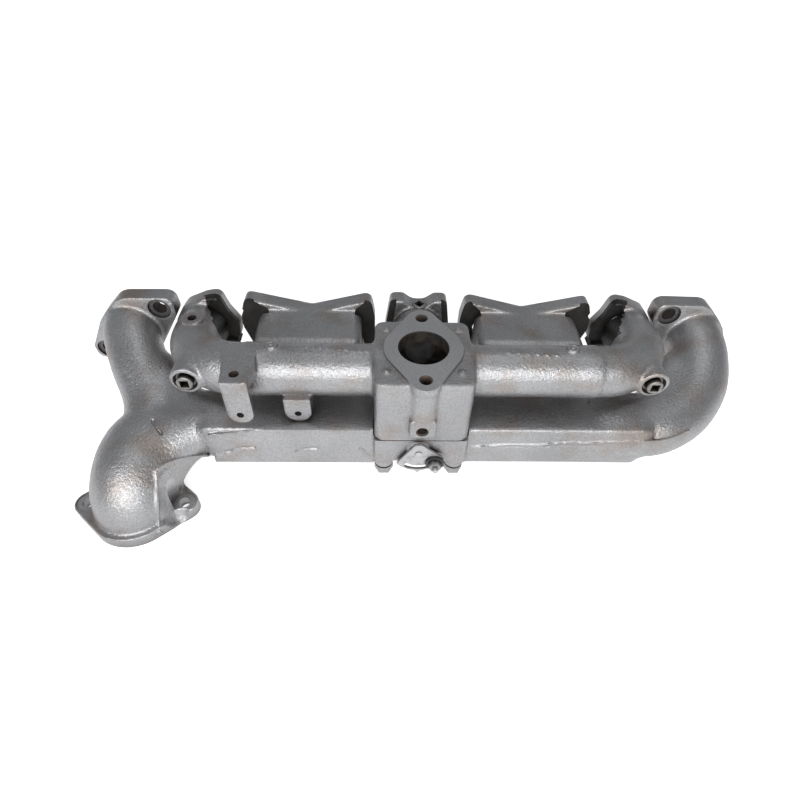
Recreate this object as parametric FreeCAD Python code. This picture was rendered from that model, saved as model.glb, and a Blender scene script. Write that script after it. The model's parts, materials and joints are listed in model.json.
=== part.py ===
import FreeCAD, Part
import math
import os

# Combined intake and exhaust manifold of an in-line six-cylinder engine, in millimetres.
# Origin: centre of the carburettor bore on the carburettor pad. +X along the engine,
# +Y towards the cylinder head, +Z up. The exhaust outlet is at the -X end and faces down.

# ---- driving dimensions -------------------------------------------------------------
CYLINDER_PITCH = 111.0
VALVE_OFFSET = 22.5                    # exhaust port, sideways from its cylinder's centre
HEAD_FACE_Y = 105.0
PORT_Z = -50.0
PORT_R = 18.5
PORT_BORE_LENGTH = 22.0
FLANGE_T = 17.0
END_PORT_X = 2.5 * CYLINDER_PITCH + VALVE_OFFSET
INTAKE_PORT_X = 2.0 * CYLINDER_PITCH
OUTER_CLAMP_X = 187.0                  # head studs shared by neighbouring flanges
INNER_CLAMP_X = 39.5
CLAMP_ZS = (-32.0, -68.0)
CLAMP_SEAT_T = 13.0
CLAMP_NOTCH_R = 6.0
TWIN_PORT_XS = (0.5 * CYLINDER_PITCH + VALVE_OFFSET, 1.5 * CYLINDER_PITCH - VALVE_OFFSET)

CARB_BORE_R = 22.2
CARB_STUD_SPACING = 84.14
CARB_STUD_R = 4.7
CARB_STUD_DEPTH = 11.5
PAD_T = 3.2
PAD_R = 35.5
PAD_LOBE_R = 13.0

BOX_HALF_X = 43.9
BOX_FRONT_Y = -45.8
BOX_REAR_Y = 41.5
BOX_CORNER_R = 9.0
BOX_WALL = 7.0
GASKET_TOP_Z = -73.5
GASKET_T = 1.0
INTAKE_GAP = 1.0                       # between the log and the sides of the intake's box
RISER_BOTTOM_Z = -106.0
PLENUM_TOP_Z = -13.0
HOT_SPOT_Z = (-45.0, -51.0)            # top and underside of the heated plenum floor
BOLT_XS = (-34.5, 34.5)
BOLT_YS = (-36.4, 32.1)
BOLT_BOSS_R = 9.4
BOLT_R = 5.0
BOLT_HOLE_R = 5.5
BOLT_TOP_Z = -28.0
LEG_BOTTOM_Z = -117.0
BOLT_HEAD_AF = 16.0
BOLT_HEAD_T = 6.6
BOLT_WASHER = (9.0, 2.0)               # radius, thickness

TUBE_R = 24.0
TUBE_Z = -27.5
TUBE_BORE_R = 17.0
TUBE_BEND_X = 160.0

LOG_Y = -13.5
LOG_Z = -90.0
LOG_HALF = (28.0, 21.0)                # half depth, half height
LOG_DRAFT = 5.0
LOG_END_XS = (-205.0, 218.0)
WALL = 6.0
TWIN_X = 0.5 * (TWIN_PORT_XS[0] + TWIN_PORT_XS[1])
TWIN_HALF_WIDTH = 52.5

OUTLET = (-267.0, -77.0, -140.0)
OUTLET_R = 28.5
OUTLET_STUD_SPACING = 88.9
OUTLET_STUD_HOLE_R = 5.6
OUTLET_FLANGE_T = 12.0
OUTLET_FLANGE_R = 41.0
OUTLET_EAR_R = 12.5
OUTLET_SPOT_R = 10.5
ELBOW_R = 40.0                         # centre-line radius of the outlet elbow
ELBOW_TUBE_R = 36.0

EAR_HOLE_R = 7.0
EAR_SPOT_R = 11.5
EAR_SEAT_T = 14.5
END_OUTLINE_Z = PORT_Z - 2.0           # the outlines of the end flanges are drawn about these heights
INTAKE_PORT_Z = PORT_Z + 2.0

PLUG_XS = (-211.0, 211.0)
PLUG_BOSS_FACE_Y = -18.0
PLUG_BOSS_R = 14.0
PLUG_BOSS_LENGTH = 46.0
PLUG_RECESS_R = 10.0
PLUG_R = 7.2
PLUG_SQUARE = 7.9
PLUG_RIM = 6.0                         # depth of the square socket
PLUG_STEM = 13.0
PLUG_FACE_Y = -21.5
CENTRE_PLUG = (1.0, 92.0, -25.0)       # floor of the socket in the plug over the centre port
CENTRE_PLUG_STEM = 4.0
CENTRE_BOSS_R = 9.0
CENTRE_BOSS_TOP_Z = -22.0

CAST_BUTTON_X = 135.0
DRAIN_HOLE = (-0.5, -54.0, 4.4)        # x, z, radius
SHELF_Z = (-13.0, -3.0)
SHELF_HOLE = (-160.5, -33.8, 4.25)     # x, y, radius
TONGUE_X = (-171.2, -148.4)
TONGUE_Y = (-45.0, -38.2)
TONGUE_HOLE = (-159.9, -41.5, 3.2)     # x, z, radius
LUG_X = (-126.0, -101.0)
LUG_Y = (-28.0, -6.0)
LUG_HOLE = (-113.5, -57.5, 3.2)
LUG_HOLE_DEPTH = 17.0
VACUUM_BOSS = (-217.5, 49.5, -8.5)     # x, y, top
VACUUM_BOSS_R = 10.0
VACUUM_HOLE_R = 4.3

PIVOT = (-2.0, -87.0)                  # x, z of the heat valve shaft
SHAFT_R = 4.0
SHAFT_CLEARANCE = 0.04
BUSH_R = 6.5
BUSH_LENGTH = 9.0
PIVOT_BOSS_R = 10.0
STUD_BOSS_R = 8.0
FRONT_BUSH_Y = BOX_FRONT_Y - 2.0
REAR_BUSH_Y = BOX_REAR_Y - BOX_WALL - 1.0
SPIGOT_R = 3.0
FLAP_T = 3.0
FLAP_Z = (-10.0, 21.0)                 # lower and upper edge, from the shaft
FLAP_SCREW_YS = (-18.0, 14.0)
FLAP_SCREW_R = 2.0
SECTOR_FACE_Y = -51.0
SECTOR_T = 2.4
SLOT_R = 20.5
SLOT_HALF_WIDTH = 2.8
STUD_ANGLE = -39.0                     # of the lock stud about the pivot, from +X
VALVE_TRAVEL = 75.0
SLOT_MARGIN = 7.0
STUD_R = 2.4
LOCK_WASHER = (9.0, 1.6)               # radius, thickness
LOCK_WASHER_GAP = 0.3
LOCK_NUT = (10.5, 5.0)                 # across flats, height
LOCK_STUD_REACH = 11.0                 # in front of the sector plate
CAVITY_HALF_X = 31.0
FAR = 400.0


# ---- helpers ------------------------------------------------------------------------
def vec(x, y, z):
    return FreeCAD.Vector(x, y, z)


def block(x0, x1, y0, y1, z0, z1):
    return Part.makeBox(x1 - x0, y1 - y0, z1 - z0, vec(x0, y0, z0))


def rod(x, y, z, direction, radius, length):
    return Part.makeCylinder(radius, length, vec(x, y, z), vec(*direction))


def rounded_wire(points, radii, place):
    """A closed outline through 2-D points, each corner an arc of its own radius."""
    edges = []
    ends = []
    count = len(points)
    for i in range(count):
        before = FreeCAD.Vector(*points[i - 1], 0)
        here = FreeCAD.Vector(*points[i], 0)
        after = FreeCAD.Vector(*points[(i + 1) % count], 0)
        to_before = (before - here).normalize()
        to_after = (after - here).normalize()
        half = 0.5 * to_before.getAngle(to_after)
        radius = radii[i] if isinstance(radii, (list, tuple)) else radii
        reach = radius / math.tan(half)
        start = here + to_before * reach
        end = here + to_after * reach
        middle = here + (to_before + to_after).normalize() * (radius / math.sin(half) - radius)
        start, middle, end = (place(p.x, p.y) for p in (start, middle, end))
        edges.append(Part.Arc(start, middle, end).toShape())
        ends.append((start, end))
    lines = []
    for i in range(count):
        start = ends[i][1]
        end = ends[(i + 1) % count][0]
        lines.append(edges[i])
        if (end - start).Length > 1e-4:
            lines.append(Part.LineSegment(start, end).toShape())
    return Part.Wire(lines)


def plate_xz(points, radii, y, thickness):
    """A plate standing across Y, from y to y + thickness."""
    wire = rounded_wire(points, radii, lambda a, b: vec(a, y, b))
    return Part.Face(wire).extrude(vec(0, thickness, 0))


def plate_xy(points, radii, z, thickness):
    wire = rounded_wire(points, radii, lambda a, b: vec(a, b, z))
    return Part.Face(wire).extrude(vec(0, 0, thickness))


def diamond(x, y, radius, lobe_r, half, along_y, z, thickness):
    """Two-bolt flange outline: a disc and two lobes joined by their common tangents."""
    lean = math.acos((radius - lobe_r) / half)
    edges = []
    tangents = []
    for turn in (0, 180):
        near = math.radians(turn) - lean
        far = math.radians(turn) + lean
        ends = []
        for centre, size, angle in ((0, radius, near), (half, lobe_r, near),
                                    (half, lobe_r, far), (0, radius, far)):
            shift = centre * (1 if turn == 0 else -1)
            ends.append((shift + size * math.cos(angle), size * math.sin(angle)))
        tip = (half + lobe_r) * (1 if turn == 0 else -1)
        tangents.append((ends, (tip, 0)))

    def place(a, b):
        return vec(x + b, y + a, z) if along_y else vec(x + a, y + b, z)

    for k, (ends, tip) in enumerate(tangents):
        points = [place(*p) for p in ends]
        edges.append(Part.LineSegment(points[0], points[1]).toShape())
        edges.append(Part.Arc(points[1], place(*tip), points[2]).toShape())
        edges.append(Part.LineSegment(points[2], points[3]).toShape())
        across = place(0, radius if k == 0 else -radius)
        edges.append(Part.Arc(points[3], across, place(*tangents[1 - k][0][0])).toShape())
    return Part.Face(Part.Wire(edges)).extrude(vec(0, 0, thickness))


def duct(centres, radii, first, last):
    """A loft of circles along a curved centre line."""
    centres = [vec(*c) for c in centres]
    across = vec(0, 0, 1)
    rings = []
    for i, centre in enumerate(centres):
        if i == 0:
            along = vec(*first)
        elif i == len(centres) - 1:
            along = vec(*last)
        else:
            along = (centres[i + 1] - centres[i - 1]).normalize()
        across = (across - along * across.dot(along)).normalize()
        turn = FreeCAD.Rotation(across, along.cross(across), along, "ZXY")
        ring = Part.Wire(Part.makeCircle(radii[i]))
        ring.Placement = FreeCAD.Placement(centre, turn)
        rings.append(ring)
    return Part.makeLoft(rings, True, False)


def fuse(shapes):
    body = shapes[0]
    for shape in shapes[1:]:
        body = body.fuse(shape)
    return body


def cut(shape, tools):
    for tool in tools:
        shape = shape.cut(tool)
    return shape


def hexagon(x, y, z, direction, across_flats, length):
    corner = across_flats / math.sqrt(3.0)
    points = [vec(corner * math.cos(math.radians(60 * k)), corner * math.sin(math.radians(60 * k)), 0)
              for k in range(6)]
    solid = Part.Face(Part.makePolygon(points + points[:1])).extrude(vec(0, 0, length))
    bevel = Part.makeCone(corner + length, corner * 0.93, length + corner * 0.07)
    solid = solid.common(bevel) if bevel.isValid() else solid
    solid.Placement = FreeCAD.Placement(vec(x, y, z), FreeCAD.Rotation(vec(0, 0, 1), vec(*direction)))
    return solid


def clean(shape):
    """The largest solid of a shape, so that no sliver is left behind."""
    return max(shape.Solids, key=lambda s: s.Volume)


# ---- flanges against the cylinder head ----------------------------------------------
def end_flange(side):
    """Diagonal two-stud flange of an end exhaust port: upper ear inboard, lower ear outboard."""
    points = [(-50, 38), (-51, 18), (-36, -6), (-16, -37), (14, -42), (49, -42), (50, -26), (31, 8), (4, 37)]
    radii = [9, 8, 14, 12, 14, 8, 7, 16, 20]
    return plate_xz([(side * (END_PORT_X + a), END_OUTLINE_Z + b) for a, b in points], radii,
                    HEAD_FACE_Y - FLANGE_T, FLANGE_T)


def end_ears(side):
    """Stud hole centres of an end flange, (x, z): upper and lower."""
    return ((side * (END_PORT_X - 35), -27.0), (side * (END_PORT_X + 35), -81.0))


def twin_flange(side):
    """Bow-tie flange that covers the two middle exhaust ports of one half of the head."""
    points = [(185, -50), (184, -34), (177, -14), (111, -30), (49, -14), (45, -36),
              (45, -64), (49, -86), (111, -72), (174, -86)]
    radii = [8, 8, 7, 12, 7, 7, 7, 7, 12, 8]
    return plate_xz([(side * a, b) for a, b in points], radii, HEAD_FACE_Y - FLANGE_T, FLANGE_T)


def clamp_seats(reaches):
    """Milled seats round the head studs that neighbouring flanges share, each with its stud's notch."""
    seats = []
    for (x, reach) in reaches:
        for z in CLAMP_ZS:
            seats.append(rod(x, HEAD_FACE_Y - 40, z, (0, 1, 0), reach, 40 - CLAMP_SEAT_T))
            seats.append(rod(x, HEAD_FACE_Y - 40, z, (0, 1, 0), CLAMP_NOTCH_R, 50))
    return seats


def intake_end_flange(side):
    points = [(-19, 36), (-25, 16), (-34, 0), (-31, -28), (-14, -33), (14, -28), (30, -16), (30, 6),
              (16, 24), (-4, 33)]
    radii = [7, 8, 12, 12, 10, 14, 14, 12, 12, 12]
    return plate_xz([(side * (INTAKE_PORT_X + a), INTAKE_PORT_Z + b) for a, b in points], radii,
                    HEAD_FACE_Y - FLANGE_T, FLANGE_T)


def centre_flange():
    points = [(-34, -50), (-29, -14), (-16, -14), (0, -26), (16, -14), (29, -14), (34, -50),
              (29, -86), (-29, -86)]
    radii = [12, 6, 6, 14, 6, 6, 12, 8, 8]
    return plate_xz(points, radii, HEAD_FACE_Y - FLANGE_T, FLANGE_T)


# ---- exhaust casting ----------------------------------------------------------------
def log_section(inset):
    """Six-sided section: both upright faces lean back from the casting's parting line."""
    depth = LOG_HALF[0] - inset
    height = LOG_HALF[1] - inset
    points = [(depth, 0), (depth - LOG_DRAFT, height), (LOG_DRAFT - depth, height),
              (-depth, 0), (LOG_DRAFT - depth, -height), (depth - LOG_DRAFT, -height)]
    return [(LOG_Y + y, LOG_Z + z) for y, z in points]


def log_bar(inset):
    x0, x1 = LOG_END_XS
    radii = [8, 5, 5, 8, 5, 5]
    wire = rounded_wire(log_section(inset), radii, lambda a, b: vec(x0, a, b))
    return Part.Face(wire).extrude(vec(x1 - x0, 0, 0))


RIGHT_BEND = [(212, -13.5, -90), (238, -10, -89), (266, 6, -84), (288, 32, -75), (298, 60, -63),
              (END_PORT_X, 84, -55), (END_PORT_X, HEAD_FACE_Y, -52)]
RIGHT_RADII = [24.5, 26.5, 28, 29, 29, 28, 26.5]
LEFT_BEND = [(-END_PORT_X, HEAD_FACE_Y, -52), (1 - END_PORT_X, 84, -54), (-285, 50, -67), (-267, 16, -84),
             (-260, -12, -95), (OUTLET[0], OUTLET[1] + ELBOW_R, OUTLET[2] + ELBOW_R)]
LEFT_RADII = [26.5, 27.5, 27, 26.5, 29.5, ELBOW_TUBE_R]
PASSAGE_START_Y = HEAD_FACE_Y - PORT_BORE_LENGTH
RIGHT_PASSAGE = RIGHT_BEND[:3] + [(288, 32, -74), (298, 60, -60), (END_PORT_X, PASSAGE_START_Y, PORT_Z)]
RIGHT_PASSAGE_RADII = [18.5, 20.5, 22, 22, 20.5, PORT_R]
LEFT_PASSAGE = [(-END_PORT_X, PASSAGE_START_Y, PORT_Z), (-285, 50, -65), (-267, 16, -83)] + LEFT_BEND[-2:]
LEFT_PASSAGE_RADII = [PORT_R, 19.5, 19.5, 21.5, OUTLET_R - 1]


def outlet_elbow(radius):
    """Quarter torus that turns the flow from -Y to straight down into the outlet."""
    x, y, z = OUTLET
    ring = Part.Face(Part.Wire(Part.makeCircle(radius, vec(x, y, z), vec(0, 0, 1))))
    return ring.revolve(vec(x, y + ELBOW_R, z), vec(1, 0, 0), -90)


def collector(inset):
    """Where the log turns forward into the outlet elbow."""
    centres = [(-185, -13.5, -90), (-214, -16, -92), (-240, -30, -98), (-260, -56, -112)]
    radii = [r - inset for r in (24, 26, 30, 32)]
    return duct(centres, radii, (-1, 0, 0), (-0.5, -0.8, -0.35))


def twin_runner(side):
    """The wide roofed casting of two neighbouring ports, dropping to the log at the front."""
    profile = [(HEAD_FACE_Y - 2, -27), (42, -27), (22, -42), (6, -72), (-4, -104), (30, -104),
               (66, -84), (HEAD_FACE_Y - 2, -78)]
    wire = rounded_wire(profile, [3, 9, 14, 8, 6, 14, 14, 3],
                        lambda a, b: vec(side * TWIN_X - TWIN_HALF_WIDTH, a, b))
    body = Part.Face(wire).extrude(vec(2 * TWIN_HALF_WIDTH, 0, 0))
    valley = plate_xz([(side * TWIN_X + a, b) for a, b in ((-19, -34), (19, -34), (9, -70), (-9, -70))],
                      3.0, -12.0, 34.0)
    return body.cut(valley)


def port_passage(x):
    centres = [(x, PASSAGE_START_Y, PORT_Z), (x, 62, PORT_Z - 3), (x, 38, -64),
               (x, 22, -78), (x, 2, -91)]
    return duct(centres, [PORT_R, 17.5, 16, 13.5, 13.5], (0, -1, 0), (0, -0.85, -0.5))


def riser_box():
    box = block(-BOX_HALF_X, BOX_HALF_X, BOX_FRONT_Y, BOX_REAR_Y, RISER_BOTTOM_Z, GASKET_TOP_Z - GASKET_T)
    upright = [e for e in box.Edges if abs(e.tangentAt(e.FirstParameter).z) > 0.9]
    box = box.makeFillet(BOX_CORNER_R - 0.5, upright)
    legs = [rod(x, y, LEG_BOTTOM_Z, (0, 0, 1), BOLT_BOSS_R, RISER_BOTTOM_Z - LEG_BOTTOM_Z + 12)
            for x in BOLT_XS for y in BOLT_YS]
    pivot_boss = rod(PIVOT[0], FRONT_BUSH_Y, PIVOT[1], (0, 1, 0), PIVOT_BOSS_R, 8)
    stud_x, stud_z = stud_place()
    stud_boss = rod(stud_x, FRONT_BUSH_Y, stud_z, (0, 1, 0), STUD_BOSS_R, 22)
    return fuse([box, pivot_boss, stud_boss] + legs)


def riser_cavity():
    top = GASKET_TOP_Z - GASKET_T
    cavity = block(-CAVITY_HALF_X, CAVITY_HALF_X, BOX_FRONT_Y + BOX_WALL, BOX_REAR_Y - BOX_WALL,
                   RISER_BOTTOM_Z + WALL, top + 1)
    posts = [rod(x, y, RISER_BOTTOM_Z, (0, 0, 1), BOLT_BOSS_R, 40) for x in BOLT_XS for y in BOLT_YS]
    return cut(cavity, posts)


def outlet_flange():
    x, y, z = OUTLET
    half = 0.5 * OUTLET_STUD_SPACING
    plate = diamond(x, y, OUTLET_FLANGE_R, OUTLET_EAR_R, half, False, z, OUTLET_FLANGE_T)
    return plate.cut(block(x - 90, x + 90, y + 36, y + 60, z - 1, z + OUTLET_FLANGE_T + 1))


def outlet_holes():
    x, y, z = OUTLET
    half = 0.5 * OUTLET_STUD_SPACING
    tools = [rod(x, y, z - 1, (0, 0, 1), OUTLET_R, 15)]
    for s in (-1, 1):
        tools.append(rod(x + s * half, y, z - 1, (0, 0, 1), OUTLET_STUD_HOLE_R, OUTLET_FLANGE_T + 2))
        tools.append(rod(x + s * half, y, z + OUTLET_FLANGE_T - 1, (0, 0, 1), OUTLET_SPOT_R, 28))
    return tools


def stud_place():
    angle = math.radians(STUD_ANGLE)
    return PIVOT[0] + SLOT_R * math.cos(angle), PIVOT[1] + SLOT_R * math.sin(angle)


def exhaust_manifold():
    solids = [log_bar(0), duct(RIGHT_BEND, RIGHT_RADII, (1, 0, 0), (0, 1, 0)),
              duct(LEFT_BEND, LEFT_RADII, (0, -1, 0), (0, -1, 0)), outlet_elbow(ELBOW_TUBE_R),
              collector(0), riser_box(), outlet_flange()]
    for side in (-1, 1):
        solids += [end_flange(side), twin_flange(side), twin_runner(side)]
    body = fuse(solids)
    body = body.cut(block(-FAR, FAR, HEAD_FACE_Y, FAR, -FAR, FAR))
    body = body.cut(block(-FAR, -BOX_HALF_X - 60, -FAR, 0, -FAR, OUTLET[2]))
    pocket = BOX_HALF_X + INTAKE_GAP
    face_z = GASKET_TOP_Z - GASKET_T
    body = body.cut(block(-pocket, pocket, BOX_FRONT_Y - 4, BOX_REAR_Y + INTAKE_GAP, face_z, 0))
    body = cut(body, [log_bar(WALL), duct(RIGHT_PASSAGE, RIGHT_PASSAGE_RADII, (1, 0, 0), (0, 1, 0)),
                      duct(LEFT_PASSAGE, LEFT_PASSAGE_RADII, (0, -1, 0), (0, -1, 0)),
                      outlet_elbow(OUTLET_R - 1), collector(WALL), riser_cavity()])
    for x in TWIN_PORT_XS:
        for side in (-1, 1):
            body = body.cut(port_passage(side * x))
    for x in (END_PORT_X,) + TWIN_PORT_XS:
        for side in (-1, 1):
            body = body.cut(rod(side * x, PASSAGE_START_Y, PORT_Z, (0, 1, 0), PORT_R, PORT_BORE_LENGTH + 1))
    for side in (-1, 1):
        for x, z in end_ears(side):
            body = body.cut(rod(x, HEAD_FACE_Y - 45, z, (0, 1, 0), EAR_HOLE_R, 60))
            body = body.cut(rod(x, HEAD_FACE_Y - 45, z, (0, 1, 0), EAR_SPOT_R, 45 - EAR_SEAT_T))
        body = cut(body, clamp_seats([(side * OUTER_CLAMP_X, 26), (side * INNER_CLAMP_X, 22)]))
    body = cut(body, outlet_holes())
    for x in BOLT_XS:
        for y in BOLT_YS:
            body = body.cut(rod(x, y, LEG_BOTTOM_Z - 1, (0, 0, 1), BOLT_HOLE_R, 60))
    for y in (FRONT_BUSH_Y - 1, REAR_BUSH_Y):
        body = body.cut(rod(PIVOT[0], y, PIVOT[1], (0, 1, 0), BUSH_R, BUSH_LENGTH + 3))
    stud_x, stud_z = stud_place()
    body = body.cut(rod(stud_x, FRONT_BUSH_Y - 1, stud_z, (0, 1, 0), STUD_R, 17))
    return clean(body)


# ---- intake casting -----------------------------------------------------------------
def intake_bend(side, inset):
    centres = [(TUBE_BEND_X, 0, TUBE_Z), (182, 2.5, -28), (203, 16, -30), (216, 37, -34), (221, 62, -40),
               (INTAKE_PORT_X, 84, -46), (INTAKE_PORT_X, HEAD_FACE_Y, -48)]
    radii = [TUBE_R, 24, 24, 24, 24.5, 25, 25]
    return duct([(side * x, y, z) for x, y, z in centres], [r - inset for r in radii],
                (side, 0, 0), (0, 1, 0))


def plenum_box():
    box = block(-BOX_HALF_X, BOX_HALF_X, BOX_FRONT_Y, BOX_REAR_Y, GASKET_TOP_Z, -PAD_T)
    upright = [e for e in box.Edges if abs(e.tangentAt(e.FirstParameter).z) > 0.9]
    return box.makeFillet(BOX_CORNER_R, upright)


def carburettor_pad():
    half = 0.5 * CARB_STUD_SPACING
    pad = diamond(0, 0, PAD_R, PAD_LOBE_R, half, True, -PAD_T - 1, PAD_T + 1)
    ribs = [rod(0, 1 - half, -42, (0, 0, 1), PAD_LOBE_R, 42 - PAD_T),
            rod(0, half - 2, -48, (0, 0, 1), PAD_LOBE_R - 1, 48 - PAD_T)]
    drain_block = block(-12, 11.8, BOX_FRONT_Y - 7, BOX_FRONT_Y + 4, -63, -41)
    return [pad, drain_block] + ribs


def bracket_shelf():
    """Threaded shelf on the tube with a tongue that hangs down in front."""
    x0, x1 = TONGUE_X
    z0, z1 = SHELF_Z
    y0, y1 = TONGUE_Y
    plan = [(x0 - 7, 8), (x0, y0), (x1, y0), (x1 + 4, y0 + 18), (x1 - 1, 8)]
    shelf = plate_xy(plan, [3, 2, 6, 8, 3], z0, z1 - z0)
    outline = [(x0, z1 - 1), (x0, -52), (x1, -52), (x1, z1 - 1)]
    return [shelf, plate_xz(outline, [1, 11, 11, 1], y0, y1 - y0)]


def lower_lug():
    """Lug that hangs below the tube, drilled from the front."""
    x0, x1 = LUG_X
    outline = [(x0, -40), (x0, -68.4), (x1, -68.4), (x1, -40)]
    return [plate_xz(outline, [1, 12, 12, 1], LUG_Y[0], LUG_Y[1] - LUG_Y[0])]


def intake_manifold():
    solids = [plenum_box(), rod(-TUBE_BEND_X, 0, TUBE_Z, (1, 0, 0), TUBE_R, 2 * TUBE_BEND_X)]
    solids += carburettor_pad() + bracket_shelf() + lower_lug() + [centre_flange()]
    centre_runner = [(0, 30, -32), (0, 60, -38), (0, 84, -46), (0, HEAD_FACE_Y, -48)]
    solids.append(duct(centre_runner, [27, 26, 25, 25], (0, 1, 0), (0, 1, 0)))
    x, y, _ = CENTRE_PLUG
    solids.append(rod(x, y, -40, (0, 0, 1), CENTRE_BOSS_R, 40 + CENTRE_BOSS_TOP_Z))
    for side in (-1, 1):
        solids += [intake_bend(side, 0), intake_end_flange(side)]
        boss_x = side * PLUG_XS[1]
        solids.append(rod(boss_x, PLUG_BOSS_FACE_Y, TUBE_Z, (0, 1, 0), PLUG_BOSS_R, PLUG_BOSS_LENGTH))
        solids.append(rod(side * CAST_BUTTON_X, 4, -20, (0, 0, 1), 5.5, 18))
    x, y, top = VACUUM_BOSS
    solids.append(rod(x, y, -24, (0, 0, 1), VACUUM_BOSS_R, 24 + top))
    body = fuse(solids)
    body = body.cut(block(-FAR, FAR, HEAD_FACE_Y, FAR, -FAR, FAR))
    # air passages
    body = body.cut(rod(0, 0, PLENUM_TOP_Z - 2, (0, 0, 1), CARB_BORE_R, 20))
    posts = [rod(x, y, -80, (0, 0, 1), BOLT_BOSS_R, 60) for x in BOLT_XS for y in BOLT_YS]
    inside = (-BOX_HALF_X + BOX_WALL, BOX_HALF_X - BOX_WALL, BOX_FRONT_Y + BOX_WALL, BOX_REAR_Y - BOX_WALL)
    body = body.cut(cut(block(*inside, HOT_SPOT_Z[0], PLENUM_TOP_Z), posts))
    body = body.cut(cut(block(*inside, GASKET_TOP_Z - 1, HOT_SPOT_Z[1]), posts))
    body = body.cut(rod(-TUBE_BEND_X, 0, TUBE_Z, (1, 0, 0), TUBE_BORE_R, 2 * TUBE_BEND_X))
    body = body.cut(duct([(0, 28, -30), (0, 60, -38), (0, 84, -46), (0, HEAD_FACE_Y + 1, -48)],
                         [14, 17, 18.5, 18.5], (0, 1, 0), (0, 1, 0)))
    for side in (-1, 1):
        body = body.cut(intake_bend(side, TUBE_R - TUBE_BORE_R))
    for x in PLUG_XS:
        body = body.cut(rod(x, PLUG_BOSS_FACE_Y - 1, TUBE_Z, (0, 1, 0), PLUG_R, 2 * PLUG_STEM))
        body = body.cut(rod(x, PLUG_BOSS_FACE_Y - 1, TUBE_Z, (0, 1, 0), PLUG_RECESS_R, 5))
    for x in (-INTAKE_PORT_X, 0, INTAKE_PORT_X):
        body = body.cut(rod(x, PASSAGE_START_Y, INTAKE_PORT_Z, (0, 1, 0), PORT_R, PORT_BORE_LENGTH + 1))
    # threaded and plain holes
    half = 0.5 * CARB_STUD_SPACING
    for s in (-1, 1):
        body = body.cut(rod(0, s * half, -CARB_STUD_DEPTH, (0, 0, 1), CARB_STUD_R, CARB_STUD_DEPTH + 1))
    bolt_depth = BOLT_TOP_Z + 3 - GASKET_TOP_Z
    for x in BOLT_XS:
        for y in BOLT_YS:
            body = body.cut(rod(x, y, GASKET_TOP_Z - 1, (0, 0, 1), BOLT_R, bolt_depth))
    x, z, radius = DRAIN_HOLE
    body = body.cut(rod(x, BOX_FRONT_Y - 8, z, (0, 1, 0), radius, 13))
    x, y, radius = SHELF_HOLE
    body = body.cut(rod(x, y, SHELF_Z[0] - 1, (0, 0, 1), radius, 12))
    for (x, z, radius), (y0, y1) in ((TONGUE_HOLE, TONGUE_Y), (LUG_HOLE, LUG_Y)):
        depth = min(y1 - y0, LUG_HOLE_DEPTH) + 1
        body = body.cut(rod(x, y0 - 1, z, (0, 1, 0), radius, depth + 1))
    body = body.cut(rod(VACUUM_BOSS[0], VACUUM_BOSS[1], -45, (0, 0, 1), VACUUM_HOLE_R, 40))
    body = body.cut(rod(CENTRE_PLUG[0], CENTRE_PLUG[1], -45, (0, 0, 1), PLUG_R, 30))
    for side in (-1, 1):
        body = cut(body, clamp_seats([(side * OUTER_CLAMP_X, 16), (side * INNER_CLAMP_X, 18)]))
    return clean(body)


# ---- small pieces -------------------------------------------------------------------
def riser_gasket():
    z = GASKET_TOP_Z - GASKET_T
    inset = 0.6
    half_x = BOX_HALF_X - inset
    sheet = block(-half_x, half_x, BOX_FRONT_Y + inset, BOX_REAR_Y - inset, z, z + GASKET_T)
    upright = [e for e in sheet.Edges if abs(e.tangentAt(e.FirstParameter).z) > 0.9]
    sheet = sheet.makeFillet(BOX_CORNER_R, upright)
    inside_y = (BOX_FRONT_Y + BOX_WALL, BOX_REAR_Y - BOX_WALL)
    opening = block(-CAVITY_HALF_X, CAVITY_HALF_X, *inside_y, z - 1, z + 3)
    posts = [rod(x, y, z - 2, (0, 0, 1), BOLT_BOSS_R, 6) for x in BOLT_XS for y in BOLT_YS]
    holes = [rod(x, y, z - 2, (0, 0, 1), BOLT_HOLE_R, 6) for x in BOLT_XS for y in BOLT_YS]
    return cut(sheet, [cut(opening, posts)] + holes)


def at_bolts(make):
    return Part.makeCompound([make(x, y) for x in BOLT_XS for y in BOLT_YS])


def riser_bolt(x, y):
    under_head = LEG_BOTTOM_Z - BOLT_WASHER[1]
    shank = rod(x, y, under_head - 1, (0, 0, 1), BOLT_R, BOLT_TOP_Z - under_head + 1)
    return shank.fuse(hexagon(x, y, under_head, (0, 0, -1), BOLT_HEAD_AF, BOLT_HEAD_T)).removeSplitter()


def riser_washer(x, y):
    radius, thickness = BOLT_WASHER
    z = LEG_BOTTOM_Z - thickness
    return rod(x, y, z, (0, 0, 1), radius, thickness).cut(rod(x, y, z - 1, (0, 0, 1), BOLT_HOLE_R, 9))


def valve_bush(y):
    bush = rod(PIVOT[0], y, PIVOT[1], (0, 1, 0), BUSH_R, BUSH_LENGTH)
    return bush.cut(rod(PIVOT[0], y - 1, PIVOT[1], (0, 1, 0), SHAFT_R + SHAFT_CLEARANCE, BUSH_LENGTH + 3))


def heat_valve_shaft():
    back = SECTOR_FACE_Y + SECTOR_T
    shaft = rod(PIVOT[0], back, PIVOT[1], (0, 1, 0), SHAFT_R, REAR_BUSH_Y + 7.5 - back)
    spigot = rod(PIVOT[0], SECTOR_FACE_Y - 0.8, PIVOT[1], (0, 1, 0), SPIGOT_R, SECTOR_T + 1.8)
    flat = block(PIVOT[0] - 0.1, PIVOT[0] + 6, -34, 30, PIVOT[1] - 6, PIVOT[1] + 6)
    return shaft.fuse(spigot).cut(flat).removeSplitter()


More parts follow.
